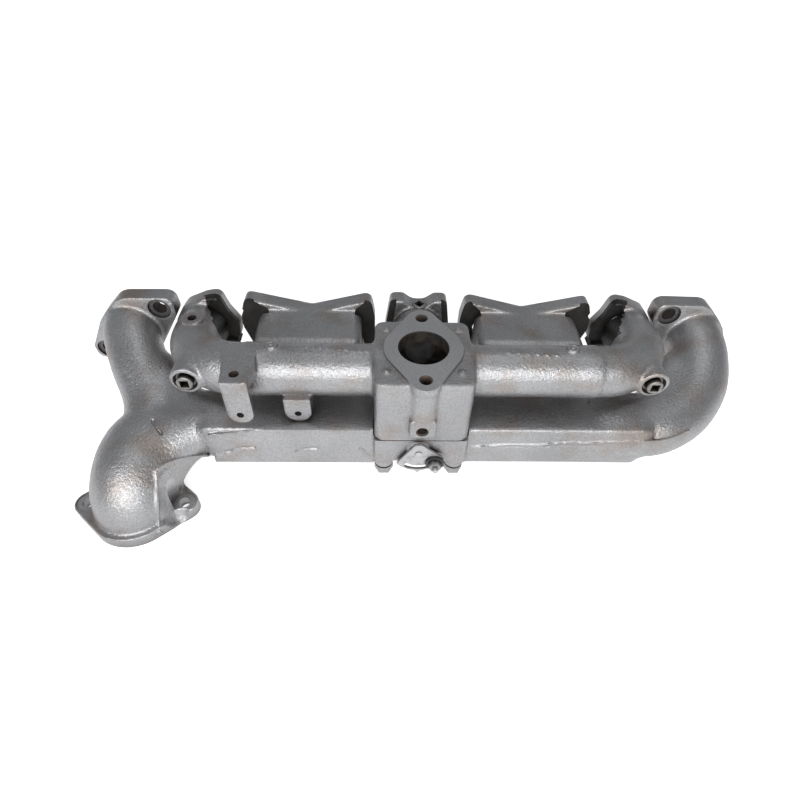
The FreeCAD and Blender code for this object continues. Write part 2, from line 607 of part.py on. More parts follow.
def heat_valve_flap():
    """Plate in the riser: long leaf up, short leaf down, screwed to the flat on the shaft."""
    x = PIVOT[0] - 0.1
    flap = block(x, x + FLAP_T, -33, 29, PIVOT[1] + FLAP_Z[0], PIVOT[1] + FLAP_Z[1])
    corners = [e for e in flap.Edges if abs(e.tangentAt(e.FirstParameter).x) > 0.9]
    flap = flap.makeFillet(4.0, corners)
    return cut(flap, [rod(x - 1, y, PIVOT[1], (1, 0, 0), FLAP_SCREW_R + 0.1, 6) for y in FLAP_SCREW_YS])


def flap_screw(y):
    """Slotted screw, its stem riveted in the shaft."""
    x = PIVOT[0] - 0.1 + FLAP_T
    stem = rod(x - 6.4, y, PIVOT[1], (1, 0, 0), FLAP_SCREW_R, 6.4)
    head = rod(x, y, PIVOT[1], (1, 0, 0), 3.6, 2.2)
    slot = block(x + 1.2, x + 3, y - 4, y + 4, PIVOT[1] - 0.5, PIVOT[1] + 0.5)
    return stem.fuse(head).cut(slot)


def around_pivot(radius, degrees):
    angle = math.radians(degrees)
    return vec(PIVOT[0] + radius * math.cos(angle), SECTOR_FACE_Y, PIVOT[1] + radius * math.sin(angle))


def sector_plate():
    """Fan-shaped plate fixed on the shaft; its slot runs on the lock stud."""
    x, z = PIVOT
    right = STUD_ANGLE + SLOT_MARGIN
    left = STUD_ANGLE - VALVE_TRAVEL - SLOT_MARGIN
    rim = SLOT_R + SLOT_HALF_WIDTH + 2.0
    start = around_pivot(rim, right + 15)
    end = around_pivot(rim, left - 22)
    shoulder = vec(x - 5, SECTOR_FACE_Y, z + 9.5)
    top = vec(x + 0.5, SECTOR_FACE_Y, z + 12)
    corner = vec(x + 6, SECTOR_FACE_Y, z + 9)
    edges = [Part.Arc(start, around_pivot(rim, 0.5 * (right + left)), end).toShape(),
             Part.LineSegment(end, shoulder).toShape(),
             Part.Arc(shoulder, top, corner).toShape(),
             Part.LineSegment(corner, start).toShape()]
    fan = Part.Face(Part.Wire(edges)).extrude(vec(0, SECTOR_T, 0))
    tip = [(x - 5, z - rim + 2), (x, z - rim - 3.4), (x + 5, z - rim + 2)]
    pointer = plate_xz(tip, 0.4, SECTOR_FACE_Y, SECTOR_T)
    inner = SLOT_R - SLOT_HALF_WIDTH
    outer = SLOT_R + SLOT_HALF_WIDTH
    middle = 0.5 * (left + right)
    end_cap = math.degrees(SLOT_HALF_WIDTH / SLOT_R)
    arcs = [((outer, right), (outer, middle), (outer, left)),
            ((outer, left), (SLOT_R, left - end_cap), (inner, left)),
            ((inner, left), (inner, middle), (inner, right)),
            ((inner, right), (SLOT_R, right + end_cap), (outer, right))]
    slot_edges = [Part.Arc(*[around_pivot(*p) for p in arc]).toShape() for arc in arcs]
    slot = Part.Face(Part.Wire(slot_edges)).extrude(vec(0, SECTOR_T + 4, 0)).translated(vec(0, -2, 0))
    plate = fan.fuse(pointer).cut(slot)
    return plate.cut(rod(x, SECTOR_FACE_Y - 1, z, (0, 1, 0), SPIGOT_R + 0.05, SECTOR_T + 2)).removeSplitter()


def lock_stud():
    x, z = stud_place()
    start = SECTOR_FACE_Y - LOCK_STUD_REACH
    return rod(x, start, z, (0, 1, 0), STUD_R, BOX_FRONT_Y + 13 - start)


def lock_washer():
    x, z = stud_place()
    radius, thickness = LOCK_WASHER
    y = SECTOR_FACE_Y - LOCK_WASHER_GAP - thickness
    return rod(x, y, z, (0, 1, 0), radius, thickness).cut(rod(x, y - 1, z, (0, 1, 0), STUD_R, 4))


def lock_nut():
    x, z = stud_place()
    y = SECTOR_FACE_Y - LOCK_WASHER_GAP - LOCK_WASHER[1]
    nut = hexagon(x, y, z, (0, -1, 0), *LOCK_NUT)
    return nut.cut(rod(x, y - 8, z, (0, 1, 0), STUD_R, 10))


def socket_plug(stem):
    """Pipe plug along Z, the floor of its square socket at z = 0 and its stem below that."""
    body = rod(0, 0, -stem, (0, 0, 1), PLUG_R, stem + PLUG_RIM)
    rim = [e for e in body.Edges if e.BoundBox.ZMin > PLUG_RIM - 0.01]
    body = body.makeChamfer(0.9, rim)
    half = 0.5 * PLUG_SQUARE
    return body.cut(block(-half, half, -half, half, 0, PLUG_RIM + 1))


def side_plug(x):
    plug = socket_plug(PLUG_STEM)
    plug.Placement = FreeCAD.Placement(vec(x, PLUG_FACE_Y + PLUG_RIM, TUBE_Z),
                                       FreeCAD.Rotation(vec(0, 0, 1), vec(0, -1, 0)))
    return plug


def centre_plug():
    plug = socket_plug(CENTRE_PLUG_STEM)
    plug.Placement = FreeCAD.Placement(vec(*CENTRE_PLUG), FreeCAD.Rotation(vec(0, 0, 1), 45))
    return plug


PARTS = {
    "exhaust_manifold": exhaust_manifold,
    "intake_manifold": intake_manifold,
    "heat_riser_gasket": riser_gasket,
    "riser_bolts": lambda: at_bolts(riser_bolt),
    "riser_bolt_washers": lambda: at_bolts(riser_washer),
    "valve_bush_front": lambda: valve_bush(FRONT_BUSH_Y),
    "valve_bush_rear": lambda: valve_bush(REAR_BUSH_Y),
    "heat_valve_shaft": heat_valve_shaft,
    "heat_valve_flap": heat_valve_flap,
    "flap_screws": lambda: Part.makeCompound([flap_screw(y) for y in FLAP_SCREW_YS]),
    "sector_plate": sector_plate,
    "lock_stud": lock_stud,
    "lock_washer": lock_washer,
    "lock_nut": lock_nut,
    "plug_left": lambda: side_plug(PLUG_XS[0]),
    "plug_right": lambda: side_plug(PLUG_XS[1]),
    "plug_centre": centre_plug,
}

os.makedirs("parts", exist_ok=True)
for name, make in PARTS.items():
    shape = make()
    box = shape.BoundBox
    print(name, "valid" if shape.isValid() else "INVALID", len(shape.Solids), "solids",
          [round(v, 1) for v in (box.XMin, box.XMax, box.YMin, box.YMax, box.ZMin, box.ZMax)],
          round(shape.Volume / 1000.0, 1), "cm3")
    shape.exportStep("parts/" + name + ".step")
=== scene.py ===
import bpy
import bmesh
import json
import math
import numpy as np
import openvdb
from mathutils import Matrix, Vector


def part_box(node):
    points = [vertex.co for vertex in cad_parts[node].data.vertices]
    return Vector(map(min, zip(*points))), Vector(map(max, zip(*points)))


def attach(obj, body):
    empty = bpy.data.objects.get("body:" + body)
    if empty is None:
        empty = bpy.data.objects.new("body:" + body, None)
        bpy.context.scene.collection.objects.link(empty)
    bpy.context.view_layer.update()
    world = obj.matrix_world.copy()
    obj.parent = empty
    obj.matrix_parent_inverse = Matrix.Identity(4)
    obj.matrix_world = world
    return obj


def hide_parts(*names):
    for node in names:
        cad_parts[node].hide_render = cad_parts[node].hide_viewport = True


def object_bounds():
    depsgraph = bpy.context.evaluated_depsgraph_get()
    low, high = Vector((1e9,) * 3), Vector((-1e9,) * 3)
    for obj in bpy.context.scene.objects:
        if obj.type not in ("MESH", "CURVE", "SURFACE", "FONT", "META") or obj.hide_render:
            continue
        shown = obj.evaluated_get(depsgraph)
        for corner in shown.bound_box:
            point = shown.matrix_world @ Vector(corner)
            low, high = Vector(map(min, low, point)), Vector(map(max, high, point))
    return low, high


# The looks of a cast intake and exhaust manifold pair. The two castings are blended from
# the same runs and blocks as the CAD model, as distance fields with cast fillets, and then
# machined with crisp cuts. Shapes are in millimetres, and MM turns them into metres where
# a mesh is made. Materials and lights are in metres.

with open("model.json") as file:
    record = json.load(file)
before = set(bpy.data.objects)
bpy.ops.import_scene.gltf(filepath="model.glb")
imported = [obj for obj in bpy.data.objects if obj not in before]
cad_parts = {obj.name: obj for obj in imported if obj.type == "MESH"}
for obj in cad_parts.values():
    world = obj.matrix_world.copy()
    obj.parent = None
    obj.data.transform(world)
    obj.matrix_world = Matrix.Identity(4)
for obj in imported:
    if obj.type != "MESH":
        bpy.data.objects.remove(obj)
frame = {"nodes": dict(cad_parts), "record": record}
cad_bounds = [list(corner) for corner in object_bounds()]

MM = 0.001
STEP = 1.0      # spacing of the field's grid points
FAR = 60.0

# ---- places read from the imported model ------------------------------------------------
MOUNTS = {m["name"]: m for m in frame["record"]["mounts"]}


def mount_mm(name):
    return np.array(MOUNTS[name]["pos_m"]) * 1000.0


def mount_dim(name, key):
    return MOUNTS[name]["dims"][key]


def box_mm(node):
    low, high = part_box(node)
    return np.array(low) * 1000.0, np.array(high) * 1000.0


HEAD_Y = mount_mm("head_face")[1]
CAST_END_Y = HEAD_Y + 4           # the castings run this far before they are faced
EXHAUST_PORTS = [mount_mm("exhaust_port_%d" % k) for k in range(1, 7)]
INTAKE_PORTS = [mount_mm("intake_port_" + k) for k in ("front", "centre", "rear")]
PORT_R = mount_dim("exhaust_port_1", "r_mm")
PORT_LENGTH = mount_dim("exhaust_port_1", "length_mm")
END_X = EXHAUST_PORTS[5][0]
TWIN_XS = (EXHAUST_PORTS[3][0], EXHAUST_PORTS[4][0])
TWIN_X = 0.5 * sum(TWIN_XS)
PORT_Z = EXHAUST_PORTS[0][2]
INTAKE_X = INTAKE_PORTS[2][0]
OUTLET = mount_mm("exhaust_outlet")
OUTLET_R = mount_dim("exhaust_outlet", "r_mm")
OUTLET_HALF = 0.5 * mount_dim("exhaust_outlet_studs", "spacing_x_mm")
OUTLET_STUD_R = mount_dim("exhaust_outlet_studs", "hole_r_mm")
END_STUD_R = mount_dim("end_studs_upper", "hole_r_mm")
CARB_R = mount_dim("carburettor_bore", "r_mm")
CARB_STUD_R = mount_dim("carburettor_studs", "hole_r_mm")
CARB_HALF = 0.5 * mount_dim("carburettor_studs", "spacing_y_mm")
GASKET_LOW, GASKET_HIGH = box_mm("heat_riser_gasket")
PLUGS = {side: 0.5 * (box_mm(node)[0] + box_mm(node)[1])
         for side, node in ((-1, "plug_left"), (1, "plug_right"))}
SHAFT_LOW, SHAFT_HIGH = box_mm("heat_valve_shaft")
PIVOT = 0.5 * (SHAFT_LOW + SHAFT_HIGH)
STUD_LOW, STUD_HIGH = box_mm("lock_stud")
STUD = 0.5 * (STUD_LOW + STUD_HIGH)

# sizes shared with the CAD model
FLANGE_T = 17.0
BOX = np.array([[-43.9, -45.8, GASKET_HIGH[2]], [43.9, 41.5, -3.2]])
BOX_CORNER = 9.0
TUBE_R = 24.0
TUBE_Z = -27.5
TUBE_BORE_R = 17.0
TUBE_BEND_X = 160.0
LOG_Y, LOG_Z = -13.5, -90.0
LOG_HALF = (28.0, 21.0)
LOG_DRAFT = 5.0
LOG_END_XS = (-205.0, 218.0)
WALL = 6.0
RISER_BOTTOM = -106.0
LEG_BOTTOM = -117.0
BOLTS = [(x, y) for x in (-34.5, 34.5) for y in (-36.4, 32.1)]
BOLT_BOSS_R = 9.4
PAD_R, PAD_LOBE_R = 35.5, 13.0
ELBOW_R = 40.0
CLAMP_XS = (187.0, 39.5)
CLAMP_ZS = (-32.0, -68.0)
CLAMP_SEAT_T = 13.0
SHELF_Z = (-13.0, -3.0)
TONGUE_X, TONGUE_Y = (-171.2, -148.4), (-45.0, -38.2)
LUG_X, LUG_Y = (-126.0, -101.0), (-28.0, -6.0)
LUG_BOTTOM = -68.4
BUTTON_X = 135.0
VACUUM = mount_mm("vacuum_port")


# ---- distance fields ------------------------------------------------------------------
def smooth_min(a, b, blend):
    if blend <= 0:
        return np.minimum(a, b)
    h = np.maximum(blend - np.abs(a - b), 0.0) / blend
    return np.minimum(a, b) - h * h * (0.25 * blend)


def inside_rounding(q, edge):
    """Distance outside rounded edges from per-axis distances."""
    outside = np.sqrt(sum(np.maximum(v, 0.0) ** 2 for v in q))
    return outside + np.minimum(np.maximum.reduce(np.broadcast_arrays(*q)), 0.0) - edge


def rounded_box(low, high, edge):
    centre = 0.5 * (np.array(low) + np.array(high))
    half = 0.5 * (np.array(high) - np.array(low)) - edge

    def distance(x, y, z):
        return inside_rounding([np.abs(v - c) - h for v, c, h in zip((x, y, z), centre, half)], edge)
    return distance, low, high


def post(centre, axis, radius, start, end, edge=0.6):
    """A round post along a row axis (0, 1 or 2) from start to end."""
    others = [i for i in range(3) if i != axis]
    middle, half = 0.5 * (start + end), 0.5 * abs(end - start) - edge

    def distance(x, y, z):
        p = (x, y, z)
        radial = np.sqrt(sum((p[i] - centre[i]) ** 2 for i in others)) - radius + edge
        return inside_rounding([radial, np.abs(p[axis] - middle) - half], edge)
    low = [c - radius for c in centre]
    high = [c + radius for c in centre]
    low[axis], high[axis] = min(start, end), max(start, end)
    return distance, low, high


def polygon_distance(points, u, v):
    """Signed distance in a plane to a closed outline of straight lines."""
    best = np.full(np.broadcast(u, v).shape, 1e9, np.float32)
    sign = np.ones_like(best)
    for i, (bx, by) in enumerate(points):
        ax, ay = points[i - 1]
        ex, ey = ax - bx, ay - by
        wx, wy = u - bx, v - by
        t = np.clip((wx * ex + wy * ey) / (ex * ex + ey * ey), 0, 1)
        best = np.minimum(best, (wx - ex * t) ** 2 + (wy - ey * t) ** 2)
        c1, c2, c3 = v >= by, v < ay, ex * wy > ey * wx
        sign = np.where((c1 & c2 & c3) | (~c1 & ~c2 & ~c3), -sign, sign)
    return sign * np.sqrt(best)


def rounded(points, radii, per_corner=5):
    """A closed outline with every corner an arc of its own radius."""
    result = []
    for i, here in enumerate(points):
        here = np.array(here, float)
        a, b = points[i - 1] - here, points[(i + 1) % len(points)] - here
        a, b = a / np.linalg.norm(a), b / np.linalg.norm(b)
        half = 0.5 * math.acos(float(np.clip(a @ b, -1, 1)))
        radius = radii[i] if isinstance(radii, (list, tuple)) else radii
        centre = here + (a + b) / np.linalg.norm(a + b) * radius / math.sin(half)
        start, end = (here + v * radius / math.tan(half) - centre for v in (a, b))
        first, last = math.atan2(start[1], start[0]), math.atan2(end[1], end[0])
        turn = (last - first + math.pi) % (2 * math.pi) - math.pi
        for k in range(per_corner + 1):
            t = first + turn * k / per_corner
            result.append((centre[0] + radius * math.cos(t), centre[1] + radius * math.sin(t)))
    return result


def prism(points, axis, start, end, radii, edge=1.0):
    """An outline in the two other axes, its corners rounded, run along one axis."""
    others = [i for i in range(3) if i != axis]
    middle, half = 0.5 * (start + end), 0.5 * abs(end - start) - edge
    outline = rounded(points, radii)

    def distance(x, y, z):
        p = (x, y, z)
        flat = polygon_distance(outline, p[others[0]], p[others[1]]) + edge
        return inside_rounding([flat, np.abs(p[axis] - middle) - half], edge)
    low, high = [0.0] * 3, [0.0] * 3
    for k, i in enumerate(others):
        low[i], high[i] = min(p[k] for p in points), max(p[k] for p in points)
    low[axis], high[axis] = min(start, end), max(start, end)
    return distance, low, high


def without(shape, tool, blend):
    """A shape with another one taken out of it."""
    def distance(x, y, z):
        return -smooth_min(-shape[0](x, y, z), tool[0](x, y, z), blend)
    return distance, shape[1], shape[2]


def smooth_path(points, radii, per_span=10):
    """A Catmull-Rom curve through the points, with its radius."""
    rows = np.array([list(p) + [r] for p, r in zip(points, radii)], float)
    ends = np.vstack([2 * rows[0] - rows[1], rows, 2 * rows[-1] - rows[-2]])
    samples = []
    for i in range(len(rows) - 1):
        a, b, c, d = ends[i:i + 4]
        for k in range(per_span):
            t = k / per_span
            samples.append(0.5 * (2 * b + (c - a) * t + (2 * a - 5 * b + 4 * c - d) * t * t
                                  + (3 * b - a - 3 * c + d) * t ** 3))
    samples.append(rows[-1])
    return np.array(samples)


class Field:
    """A signed distance field on a grid that shapes are blended into or carved out of."""

    def __init__(self, low, high):
        self.low = np.array(low, float)
        count = np.ceil((np.array(high) - self.low) / STEP).astype(int) + 1
        self.axes = [(self.low[i] + STEP * np.arange(count[i])).astype(np.float32) for i in range(3)]
        self.value = np.full(count, FAR, np.float32)

    def window(self, low, high, margin):
        cells = []
        for i in range(3):
            start = int((low[i] - margin - self.low[i]) / STEP)
            stop = int((high[i] + margin - self.low[i]) / STEP) + 2
            cells.append(slice(max(start, 0), max(min(stop, len(self.axes[i])), 0)))
        return tuple(cells)

    def grid(self, cells):
        return (self.axes[0][cells[0]][:, None, None], self.axes[1][cells[1]][None, :, None],
                self.axes[2][cells[2]][None, None, :])

    def add(self, shape, blend=0.0):
        distance, low, high = shape
        cells = self.window(low, high, blend + 3 * STEP)
        self.value[cells] = smooth_min(self.value[cells], distance(*self.grid(cells)), blend)

    def carve(self, shape, blend=0.0):
        distance, low, high = shape
        cells = self.window(low, high, blend + 3 * STEP)
        self.value[cells] = -smooth_min(-self.value[cells], distance(*self.grid(cells)), blend)

    def tube(self, points, radii, blend=0.0, carve=False):
        """A round pipe along a smooth path through the points."""
        path = smooth_path(points, radii)
        reach = path[:, 3].max() + blend + 3 * STEP
        cells = self.window(path[:, :3].min(0), path[:, :3].max(0), reach)
        near = np.full(self.value[cells].shape, FAR, np.float32)
        for a, b in zip(path[:-1], path[1:]):
            part = self.window(np.minimum(a, b)[:3], np.maximum(a, b)[:3], reach)
            x, y, z = self.grid(part)
            ab = b[:3] - a[:3]
            t = np.clip(((x - a[0]) * ab[0] + (y - a[1]) * ab[1] + (z - a[2]) * ab[2]) / (ab @ ab), 0, 1)
            gap = np.sqrt((x - a[0] - ab[0] * t) ** 2 + (y - a[1] - ab[1] * t) ** 2
                          + (z - a[2] - ab[2] * t) ** 2) - a[3] - (b[3] - a[3]) * t
            local = tuple(slice(p.start - c.start, p.stop - c.start) for p, c in zip(part, cells))
            near[local] = np.minimum(near[local], gap)
        if carve:
            self.value[cells] = -smooth_min(-self.value[cells], near, blend)
        else:
            self.value[cells] = smooth_min(self.value[cells], near, blend)

    def bead(self, points, radius, groove=False):
        """A thin raised line of flash along a path, or the same line as a groove."""
        self.tube(points, [radius * (1.0 + 0.25 * (-1) ** k) for k in range(len(points))], 0.5, groove)

    def keep_outside(self):
        """Remember the unbored shape, to tell passage walls from the outside."""
        self.outside = self.value.copy()

    def mesh(self, name, adaptivity=0.02):
        """The zero surface, as a Blender mesh in metres, passage walls in material 1."""
        band = 3.0 * STEP
        solid = np.clip(self.value, -band, band)
        volume = openvdb.FloatGrid(band)
        volume.copyFromArray(solid)
        points, triangles, quads = volume.convertToPolygons(isovalue=0.0, adaptivity=adaptivity)
        points = (points * STEP + self.low) * MM
        faces = [tuple(int(v) for v in f) for f in triangles] + [tuple(int(v) for v in f) for f in quads]
        mesh = bpy.data.meshes.new(name)
        mesh.from_pydata(points.tolist(), [], faces)
        mesh.validate()
        bm = bmesh.new()
        bm.from_mesh(mesh)
        if bm.calc_volume(signed=True) < 0:
            bmesh.ops.reverse_faces(bm, faces=bm.faces)
        bm.to_mesh(mesh)
        bm.free()
        centres = np.empty(len(mesh.polygons) * 3, np.float32)
        mesh.polygons.foreach_get("center", centres)
        cells = np.rint((centres.reshape(-1, 3) / MM - self.low) / STEP).astype(int)
        cells = np.clip(cells, 0, np.array(self.value.shape) - 1)
        deep = self.outside[cells[:, 0], cells[:, 1], cells[:, 2]] < -3.0
        mesh.polygons.foreach_set("material_index", deep.astype(np.int32))
        mesh.materials.append(CAST)
        mesh.materials.append(BORE)
        return mesh


# ---- mesh helpers ---------------------------------------------------------------------
def mesh_object(name, mesh):
    obj = bpy.data.objects.new(name, mesh)
    bpy.context.scene.collection.objects.link(obj)
    return obj


def bm_object(name, bm):
    mesh = bpy.data.meshes.new(name)
    bm.to_mesh(mesh)
    bm.free()
    return mesh_object(name, mesh)


def smooth(obj, degrees=35.0):
    mesh = obj.data
    mesh.polygons.foreach_set("use_smooth", np.ones(len(mesh.polygons), bool))
    mesh.set_sharp_from_angle(angle=math.radians(degrees))


AXIS_TURN = {0: Matrix.Rotation(math.radians(90), 4, "Y"), 1: Matrix.Rotation(math.radians(-90), 4, "X"),
             2: Matrix.Identity(4)}


def lathe(bm, profile, centre, axis, segments=64, flip=False):
    """Turn a profile of (radius, height) round a row axis through centre, closed at both ends."""
    turn = AXIS_TURN[axis]
    if flip:
        turn = turn @ Matrix.Rotation(math.pi, 4, "X")
    rings = []
    for radius, height in profile:
        ring = []
        for k in range(segments):
            a = 2 * math.pi * k / segments
            p = turn @ Vector((radius * math.cos(a), radius * math.sin(a), height))
            ring.append(bm.verts.new((Vector(centre) + p) * MM))
        rings.append(ring)
    for low, high in zip(rings[:-1], rings[1:]):
        for k in range(segments):
            bm.faces.new((low[k - 1], low[k], high[k], high[k - 1]))
    bm.faces.new(rings[0][::-1])
    bm.faces.new(rings[-1])


def extrude_outline(bm, points, place, depth):
    """A straight prism from a flat outline; place turns (a, b, c) into row millimetres."""
    low = [bm.verts.new(Vector(place(a, b, 0.0)) * MM) for a, b in points]
    high = [bm.verts.new(Vector(place(a, b, depth)) * MM) for a, b in points]
    bm.faces.new(low[::-1])
    bm.faces.new(high)
    for k in range(len(points)):
        bm.faces.new((low[k - 1], low[k], high[k], high[k - 1]))


def cutter_box(bm, low, high):
    points = [(low[0], low[1]), (high[0], low[1]), (high[0], high[1]), (low[0], high[1])]
    extrude_outline(bm, points, lambda a, b, c: (a, b, low[2] + c), high[2] - low[2])


def cutter_post(bm, centre, axis, radius, start, end, segments=64):
    lathe(bm, [(radius, start - centre[axis]), (radius, end - centre[axis])], centre, axis, segments)


def machine(obj, build, material):
    """Cut crisp machined features out of a casting, one boolean for each group."""
    bm = bmesh.new()
    build(bm)
    bmesh.ops.recalc_face_normals(bm, faces=bm.faces)
    tool = bm_object("cut_tool", bm)
    tool.data.materials.append(material)
    modifier = obj.modifiers.new("cut", "BOOLEAN")
    modifier.operation = "DIFFERENCE"
    modifier.solver = "MANIFOLD"
    modifier.material_mode = "TRANSFER"
    modifier.object = tool
    graph = bpy.context.evaluated_depsgraph_get()
    result = bpy.data.meshes.new_from_object(obj.evaluated_get(graph), depsgraph=graph)
    obj.modifiers.remove(modifier)
    old = obj.data
    obj.data = result
    result.name = obj.name
    bpy.data.meshes.remove(old)
    bpy.data.objects.remove(tool)


# ---- materials ------------------------------------------------------------------------
def shader(name):
    material = bpy.data.materials.new(name)
    material.use_nodes = True
    nodes = material.node_tree.nodes
    nodes.clear()
    out = nodes.new("ShaderNodeOutputMaterial")
    principled = nodes.new("ShaderNodeBsdfPrincipled")
    material.node_tree.links.new(principled.outputs[0], out.inputs[0])
    return material, nodes, material.node_tree.links, principled


def noise(nodes, links, scale, detail, vector, roughness=0.55):
    node = nodes.new("ShaderNodeTexNoise")
    node.inputs["Scale"].default_value = scale
    node.inputs["Detail"].default_value = detail
    node.inputs["Roughness"].default_value = roughness
    links.new(vector, node.inputs["Vector"])
    return node.outputs["Fac"]


def ramp(nodes, links, value, stops):
    node = nodes.new("ShaderNodeValToRGB")
    node.color_ramp.elements[0].position, node.color_ramp.elements[0].color = stops[0][0], (*stops[0][1], 1)
    node.color_ramp.elements[1].position, node.color_ramp.elements[1].color = stops[-1][0], (*stops[-1][1], 1)
    for position, color in stops[1:-1]:
        node.color_ramp.elements.new(position).color = (*color, 1)
    links.new(value, node.inputs[0])
    return node.outputs[0]


def mix(nodes, links, factor, a, b, kind="MIX"):
    node = nodes.new("ShaderNodeMix")
    node.data_type = "RGBA"
    node.blend_type = kind
    for socket, value in ((node.inputs[0], factor), (node.inputs[6], a), (node.inputs[7], b)):
        if isinstance(value, (int, float)):
            socket.default_value = value
        elif isinstance(value, tuple):
            socket.default_value = (*value, 1)
        else:
            links.new(value, socket)
    return node.outputs[2]


def spread(nodes, links, value, low, high, out_low, out_high):
    node = nodes.new("ShaderNodeMapRange")
    links.new(value, node.inputs[0])
    for k, v in enumerate((low, high, out_low, out_high)):
        node.inputs[k + 1].default_value = v
    return node.outputs[0]


def bump(nodes, links, height, strength, distance, below=None):
    node = nodes.new("ShaderNodeBump")
    node.inputs["Strength"].default_value = strength
    node.inputs["Distance"].default_value = distance
    links.new(height, node.inputs["Height"])
    if below is not None:
        links.new(below, node.inputs["Normal"])
    return node.outputs[0]


def painted_crevice_shade(nodes, links, reach, stops):
    """Painted shade: darker where neighbouring surfaces crowd in, read from an ambient occlusion node."""
    node = nodes.new("ShaderNodeAmbientOcclusion")
    node.inputs["Distance"].default_value = reach
    node.samples = 6
    return ramp(nodes, links, node.outputs["AO"], stops)


# the near-black strip, in metres: its slanting outer edge, its inner limits and its end at the flange
STRIP_EDGE, STRIP_SLANT, STRIP_WOBBLE = 0.1805, 0.45, 0.010
STRIP_LIMITS = (0.183, 0.050, -0.072)
STRIP_END_Y = 0.0965


def near_black_strip(nodes, links, place):
    """1 on the near-black strip beside each intake end runner, rough along its edge, else 0."""
    split = nodes.new("ShaderNodeSeparateXYZ")
    links.new(place, split.inputs[0])

    def calc(operation, a, b=0.0):
        node = nodes.new("ShaderNodeMath")
        node.operation = operation
        for socket, value in zip(node.inputs, (a, b)):
            if isinstance(value, float):
                socket.default_value = value
            else:
                links.new(value, socket)
        return node.outputs[0]
    across = calc("ABSOLUTE", split.outputs[0])
    wobble = calc("MULTIPLY", noise(nodes, links, 150.0, 4.0, place), STRIP_WOBBLE)
    edge = calc("ADD", calc("SUBTRACT", across, calc("MULTIPLY", split.outputs[1], STRIP_SLANT)), wobble)
    mask = calc("LESS_THAN", edge, STRIP_EDGE)
    for value, limit in zip((across, split.outputs[1], split.outputs[2]), STRIP_LIMITS):
        mask = calc("MULTIPLY", mask, calc("GREATER_THAN", value, limit))
    return calc("MULTIPLY", mask, calc("LESS_THAN", split.outputs[1], STRIP_END_Y))


def cast_material(name, tint, grain, rough, metal, stain=0.5):
    """Sand-cast iron under silver heat paint: grain and scorched brown patches."""
    material, nodes, links, principled = shader(name)
    place = nodes.new("ShaderNodeTexCoord").outputs["Object"]
    cloud = noise(nodes, links, 14.0, 4.0, place)
    patch = noise(nodes, links, 32.0, 3.0, place)
    sand = noise(nodes, links, 900.0, 2.0, place, 0.7)
    pebble = noise(nodes, links, 380.0, 3.0, place, 0.6)
    base = ramp(nodes, links, cloud, [(0.30, tuple(0.86 * c for c in tint)), (0.55, tint),
                                      (0.75, tuple(1.08 * c for c in tint))])
    brown = ramp(nodes, links, patch, [(0.48, (0, 0, 0)), (0.72, (stain, stain, stain))])
    base = mix(nodes, links, brown, base, (0.33, 0.26, 0.21))
    specks = ramp(nodes, links, sand,
                  [(0.36, (0.78, 0.78, 0.78)), (0.52, (1, 1, 1)), (0.68, (1.16, 1.16, 1.16))])
    base = mix(nodes, links, 1.0, base, specks, "MULTIPLY")
    # painted shade: brown-tinted darkening in creases, from ambient occlusion
    grime_and_painted_shade = painted_crevice_shade(nodes, links, 0.02, [(0.30, (0.34, 0.30, 0.27)), (0.80, (1.0, 1.0, 1.0))])
    base = mix(nodes, links, 1.0, base, grime_and_painted_shade, "MULTIPLY")
    # near-black strip beside each intake end runner, from a position mask
    base = mix(nodes, links, near_black_strip(nodes, links, place), base, (0.045, 0.043, 0.042))
    links.new(base, principled.inputs["Base Color"])
    principled.inputs["Metallic"].default_value = metal
    uneven = spread(nodes, links, pebble, 0.3, 0.7, rough - 0.07, rough + 0.09)
    links.new(uneven, principled.inputs["Roughness"])
    normal = bump(nodes, links, pebble, grain, 0.0009)
    normal = bump(nodes, links, sand, grain * 0.8, 0.0004, normal)
    links.new(normal, principled.inputs["Normal"])
    return material


def dark_iron(name, tint, rust, rough=0.62):
    """Bare or rusty iron inside bores and on clamp seats."""
    material, nodes, links, principled = shader(name)
    place = nodes.new("ShaderNodeTexCoord").outputs["Object"]
    patch = noise(nodes, links, 90.0, 4.0, place)
    fine = noise(nodes, links, 700.0, 3.0, place)
    base = ramp(nodes, links, patch, [(0.38, tint), (0.66, rust)])
    links.new(base, principled.inputs["Base Color"])
    principled.inputs["Metallic"].default_value = 0.35
    uneven = spread(nodes, links, patch, 0.3, 0.7, rough - 0.1, rough + 0.12)
    links.new(uneven, principled.inputs["Roughness"])
    links.new(bump(nodes, links, fine, 0.35, 0.0003), principled.inputs["Normal"])
    return material


def metal(name, tint, rough, scale=500.0, metallic=0.9, wear=(0.25, 0.2, 0.16)):
    """A small steel or bronze piece: brushed noise, with grime in patches and painted shade in crevices."""
    material, nodes, links, principled = shader(name)
    place = nodes.new("ShaderNodeTexCoord").outputs["Object"]
    patch = noise(nodes, links, 160.0, 4.0, place)
    fine = noise(nodes, links, scale * 2.0, 3.0, place)
    grime_and_painted_shade = ramp(nodes, links, patch, [(0.50, (0, 0, 0)), (0.78, (0.7, 0.7, 0.7))])
    base = mix(nodes, links, grime_and_painted_shade, tint, wear)
    # painted shade: near-black darkening in crevices and sockets, from ambient occlusion
    shade = painted_crevice_shade(nodes, links, 0.007, [(0.45, (0.03, 0.03, 0.03)), (0.80, (1.0, 1.0, 1.0))])
    base = mix(nodes, links, 1.0, base, shade, "MULTIPLY")
    links.new(base, principled.inputs["Base Color"])
    principled.inputs["Metallic"].default_value = metallic
    uneven = spread(nodes, links, fine, 0.3, 0.7, rough - 0.06, rough + 0.12)
    links.new(uneven, principled.inputs["Roughness"])
    links.new(bump(nodes, links, fine, 0.3, 0.0002), principled.inputs["Normal"])
    return material


